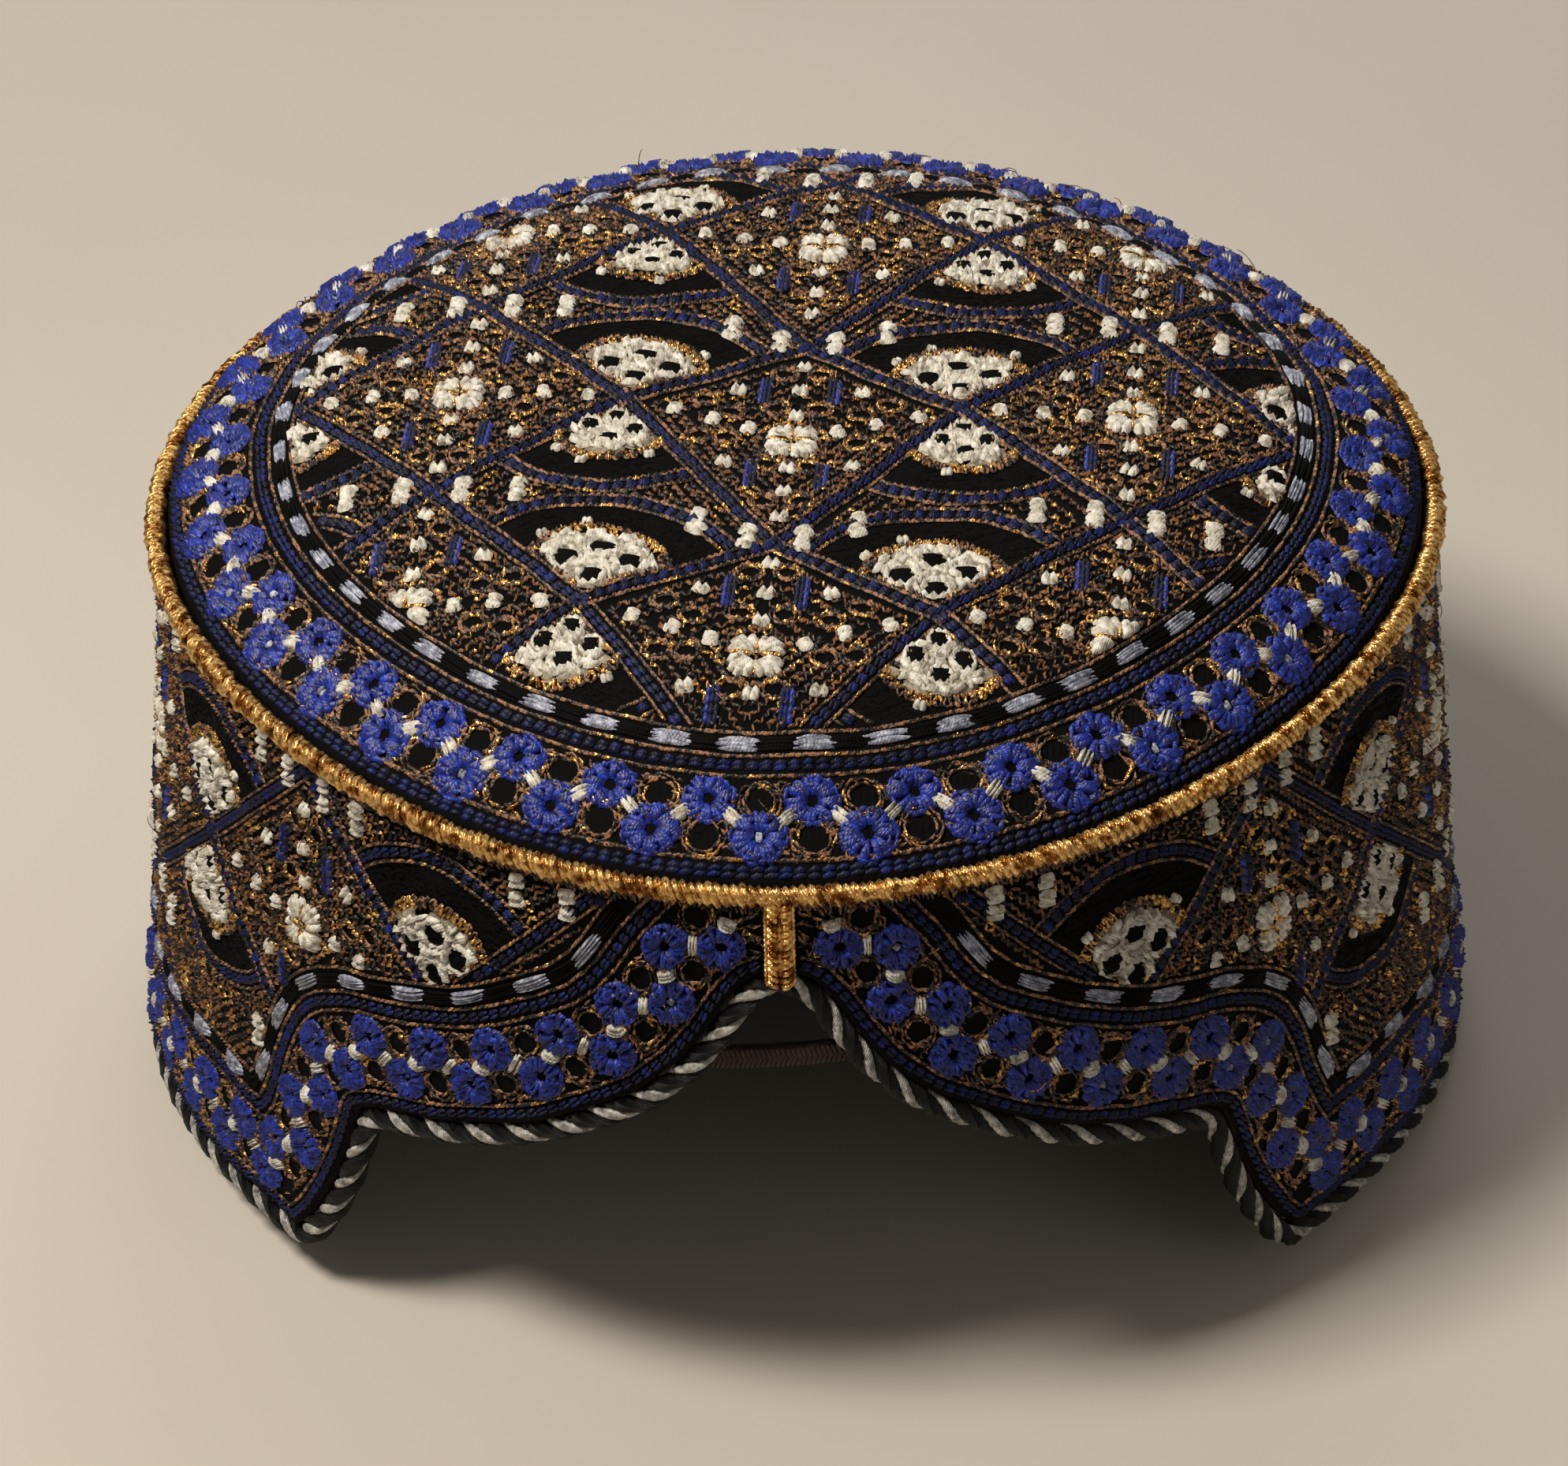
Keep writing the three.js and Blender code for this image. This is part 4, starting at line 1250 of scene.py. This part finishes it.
def strap_mesh():
    parts = []
    deg = np.linspace(-12, 12, 70)
    z0 = 59.6 + .07 * RIM_R * np.sin(np.radians(deg))
    ang = [(-1.25, 0), (-1.25, -.0), (0, .12), (1.25, 0), (1.25, -1.0), (0, -1.05), (-1.25, -1.0)]
    ring = []
    for dz, dr in ang:
        z = z0 + dz
        r = band_radius(deg, z) - .6 - WALL - .3 - .45 + dr
        ring.append(np.stack([r * np.sin(np.radians(deg)), -r * np.cos(np.radians(deg)), z], -1))
    V = np.stack(ring, 1)
    m, n = V.shape[:2]
    I, J = np.meshgrid(np.arange(m - 1), np.arange(n), indexing="ij")
    Q = np.stack([I * n + J, (I + 1) * n + J, (I + 1) * n + (J + 1) % n, I * n + (J + 1) % n], -1).reshape(-1, 4)
    parts.append((V.reshape(-1, 3), Q, np.zeros((m * n, 2))))
    # diagonal ribs of the braid on the side that shows
    for k, d0 in enumerate(np.arange(-11.7, 11.6, .42)):
        for lo, hi, lean in ((-1.25, .05, .28), (-.05, 1.25, -.28)):
            f = np.linspace(0, 1, 4)
            d = d0 + lean * (f - .5) * 1.2
            z = 59.6 + .07 * RIM_R * np.sin(np.radians(d)) + lo + (hi - lo) * f
            r = band_radius(d, z) - .6 - WALL - .3 - .45 + .10
            P = np.stack([r * np.sin(np.radians(d)), -r * np.cos(np.radians(d)), z], -1)
            parts.append(tube(P, .24, 5, False, outward_of(P)))
    return joined(parts)


V, Q, UV = strap_mesh()
strap = build("front_strap_braid", V, Q, UV, [M_STRAP])
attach(strap, "root")
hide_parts("front_strap")

# ------------------------------------------------------------------ loose thread ends
ends = []
for where, n in (("crown", 30), ("band", 46)):
    for _ in range(n):
        d = rng.uniform(-180, 180)
        if where == "crown":
            q = polar(d, plan_radius(d) * rng.uniform(.82, .95))
            p0 = wrap_crown(np.array([[q[0], q[1], .3]]))[0]
            away = unit(np.array([q[0], q[1], 70.0]))
        else:
            z = rng.uniform(float(lifted(d, 7.0)), 78)
            p0 = wrap_band(np.array([[d * ARC, z, .3]]))[0]
            away = unit(np.array([p0[0], p0[1], rng.uniform(-30, 30)]))
        ln = rng.uniform(1.4, 4.2)
        side = rng.normal(size=3)
        side = unit(side - (side @ away) * away)
        f = np.linspace(0, 1, 6)[:, None]
        P = p0 + side * ln * f + away * (1.5 * np.sin(f * rng.uniform(1.4, 2.8))) * rng.uniform(.5, 1)
        ends.append(tube(P, np.linspace(.09, .06, 6), 3, False, np.tile(away, (6, 1)) + .01))
V, Q, UV = joined(ends)
loose = build("loose_thread_ends", V, Q, UV, [M_BROWN])
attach(loose, "root")

# ------------------------------------------------------------------ cloth areas
crown_area, band_area = area_of(crown), area_of(band)
print("cloth areas", crown_area, band_area)

# ------------------------------------------------------------------ floor, light, camera
fm = bpy.data.materials.new("pale_floor")
fm.use_nodes = True
nt = fm.node_tree
b = nt.nodes["Principled BSDF"]
tc = nt.nodes.new("ShaderNodeTexCoord")
ns = nt.nodes.new("ShaderNodeTexNoise")
ns.inputs["Scale"].default_value = 7
cr = nt.nodes.new("ShaderNodeValToRGB")
cr.color_ramp.elements[0].color = srgb(194, 186, 175)
cr.color_ramp.elements[1].color = srgb(205, 198, 188)
nt.links.new(tc.outputs["Object"], ns.inputs["Vector"])
nt.links.new(ns.outputs["Fac"], cr.inputs["Fac"])
nt.links.new(cr.outputs["Color"], b.inputs["Base Color"])
b.inputs["Roughness"].default_value = .9
b.inputs["Specular IOR Level"].default_value = .2
bpy.ops.mesh.primitive_plane_add(size=8, location=(0, 0, 0))
floor = bpy.context.object
floor.name = "floor"
floor.data.materials.append(fm)

world = bpy.data.worlds.new("studio")
world.use_nodes = True
world.node_tree.nodes["Background"].inputs["Color"].default_value = srgb(226, 219, 206)
world.node_tree.nodes["Background"].inputs["Strength"].default_value = .215
bpy.context.scene.world = world


def area_light(name, loc, size, power, colour):
    li = bpy.data.lights.new(name, "AREA")
    li.shape, li.size, li.energy, li.color = "SQUARE", size, power, colour
    ob = bpy.data.objects.new(name, li)
    bpy.context.scene.collection.objects.link(ob)
    ob.location = loc
    ob.rotation_euler = (Vector((0, 0, .06)) - Vector(loc)).to_track_quat("-Z", "Y").to_euler()
    return ob


area_light("key", (-.40, -.20, .86), .22, 8.3, (1.0, .93, .82))
area_light("fill", (.75, -.65, .55), .6, .7, (1.0, .95, .88))
area_light("back", (.1, .9, .8), .6, 3.0, (.97, .97, 1.0))

cam_data = bpy.data.cameras.new("camera")
cam = bpy.data.objects.new("camera", cam_data)
bpy.context.scene.collection.objects.link(cam)
bpy.context.scene.camera = cam
cam_data.sensor_fit = "HORIZONTAL"
cam_data.sensor_width = 36
cam_data.lens = 5500 / 1988 * 36
cam_data.clip_start, cam_data.clip_end = .01, 20
pos = np.array([-.0114, -5.7029, 3.8552]) * RIM_R
pitch, yaw, roll = math.radians(37.26), math.radians(-.13), math.radians(-1.43)
fwd = np.array([math.sin(yaw) * math.cos(pitch), math.cos(yaw) * math.cos(pitch), -math.sin(pitch)])
rgt = np.array([math.cos(yaw), -math.sin(yaw), 0])
up = np.cross(rgt, fwd)
r2, u2 = math.cos(roll) * rgt + math.sin(roll) * up, -math.sin(roll) * rgt + math.cos(roll) * up
a = math.radians(2.0)
RZ = np.array([[math.cos(a), -math.sin(a), 0], [math.sin(a), math.cos(a), 0], [0, 0, 1]])
pos = (RZ @ pos + np.array([0, 0, SEAM_H]) + SHIFT) * MM
r2, u2, back = RZ @ r2, RZ @ u2, -(RZ @ fwd)
cam.matrix_world = Matrix(((r2[0], u2[0], back[0], pos[0]), (r2[1], u2[1], back[1], pos[1]), (r2[2], u2[2], back[2], pos[2]), (0, 0, 0, 1)))
bpy.context.scene.view_settings.view_transform = "Standard"
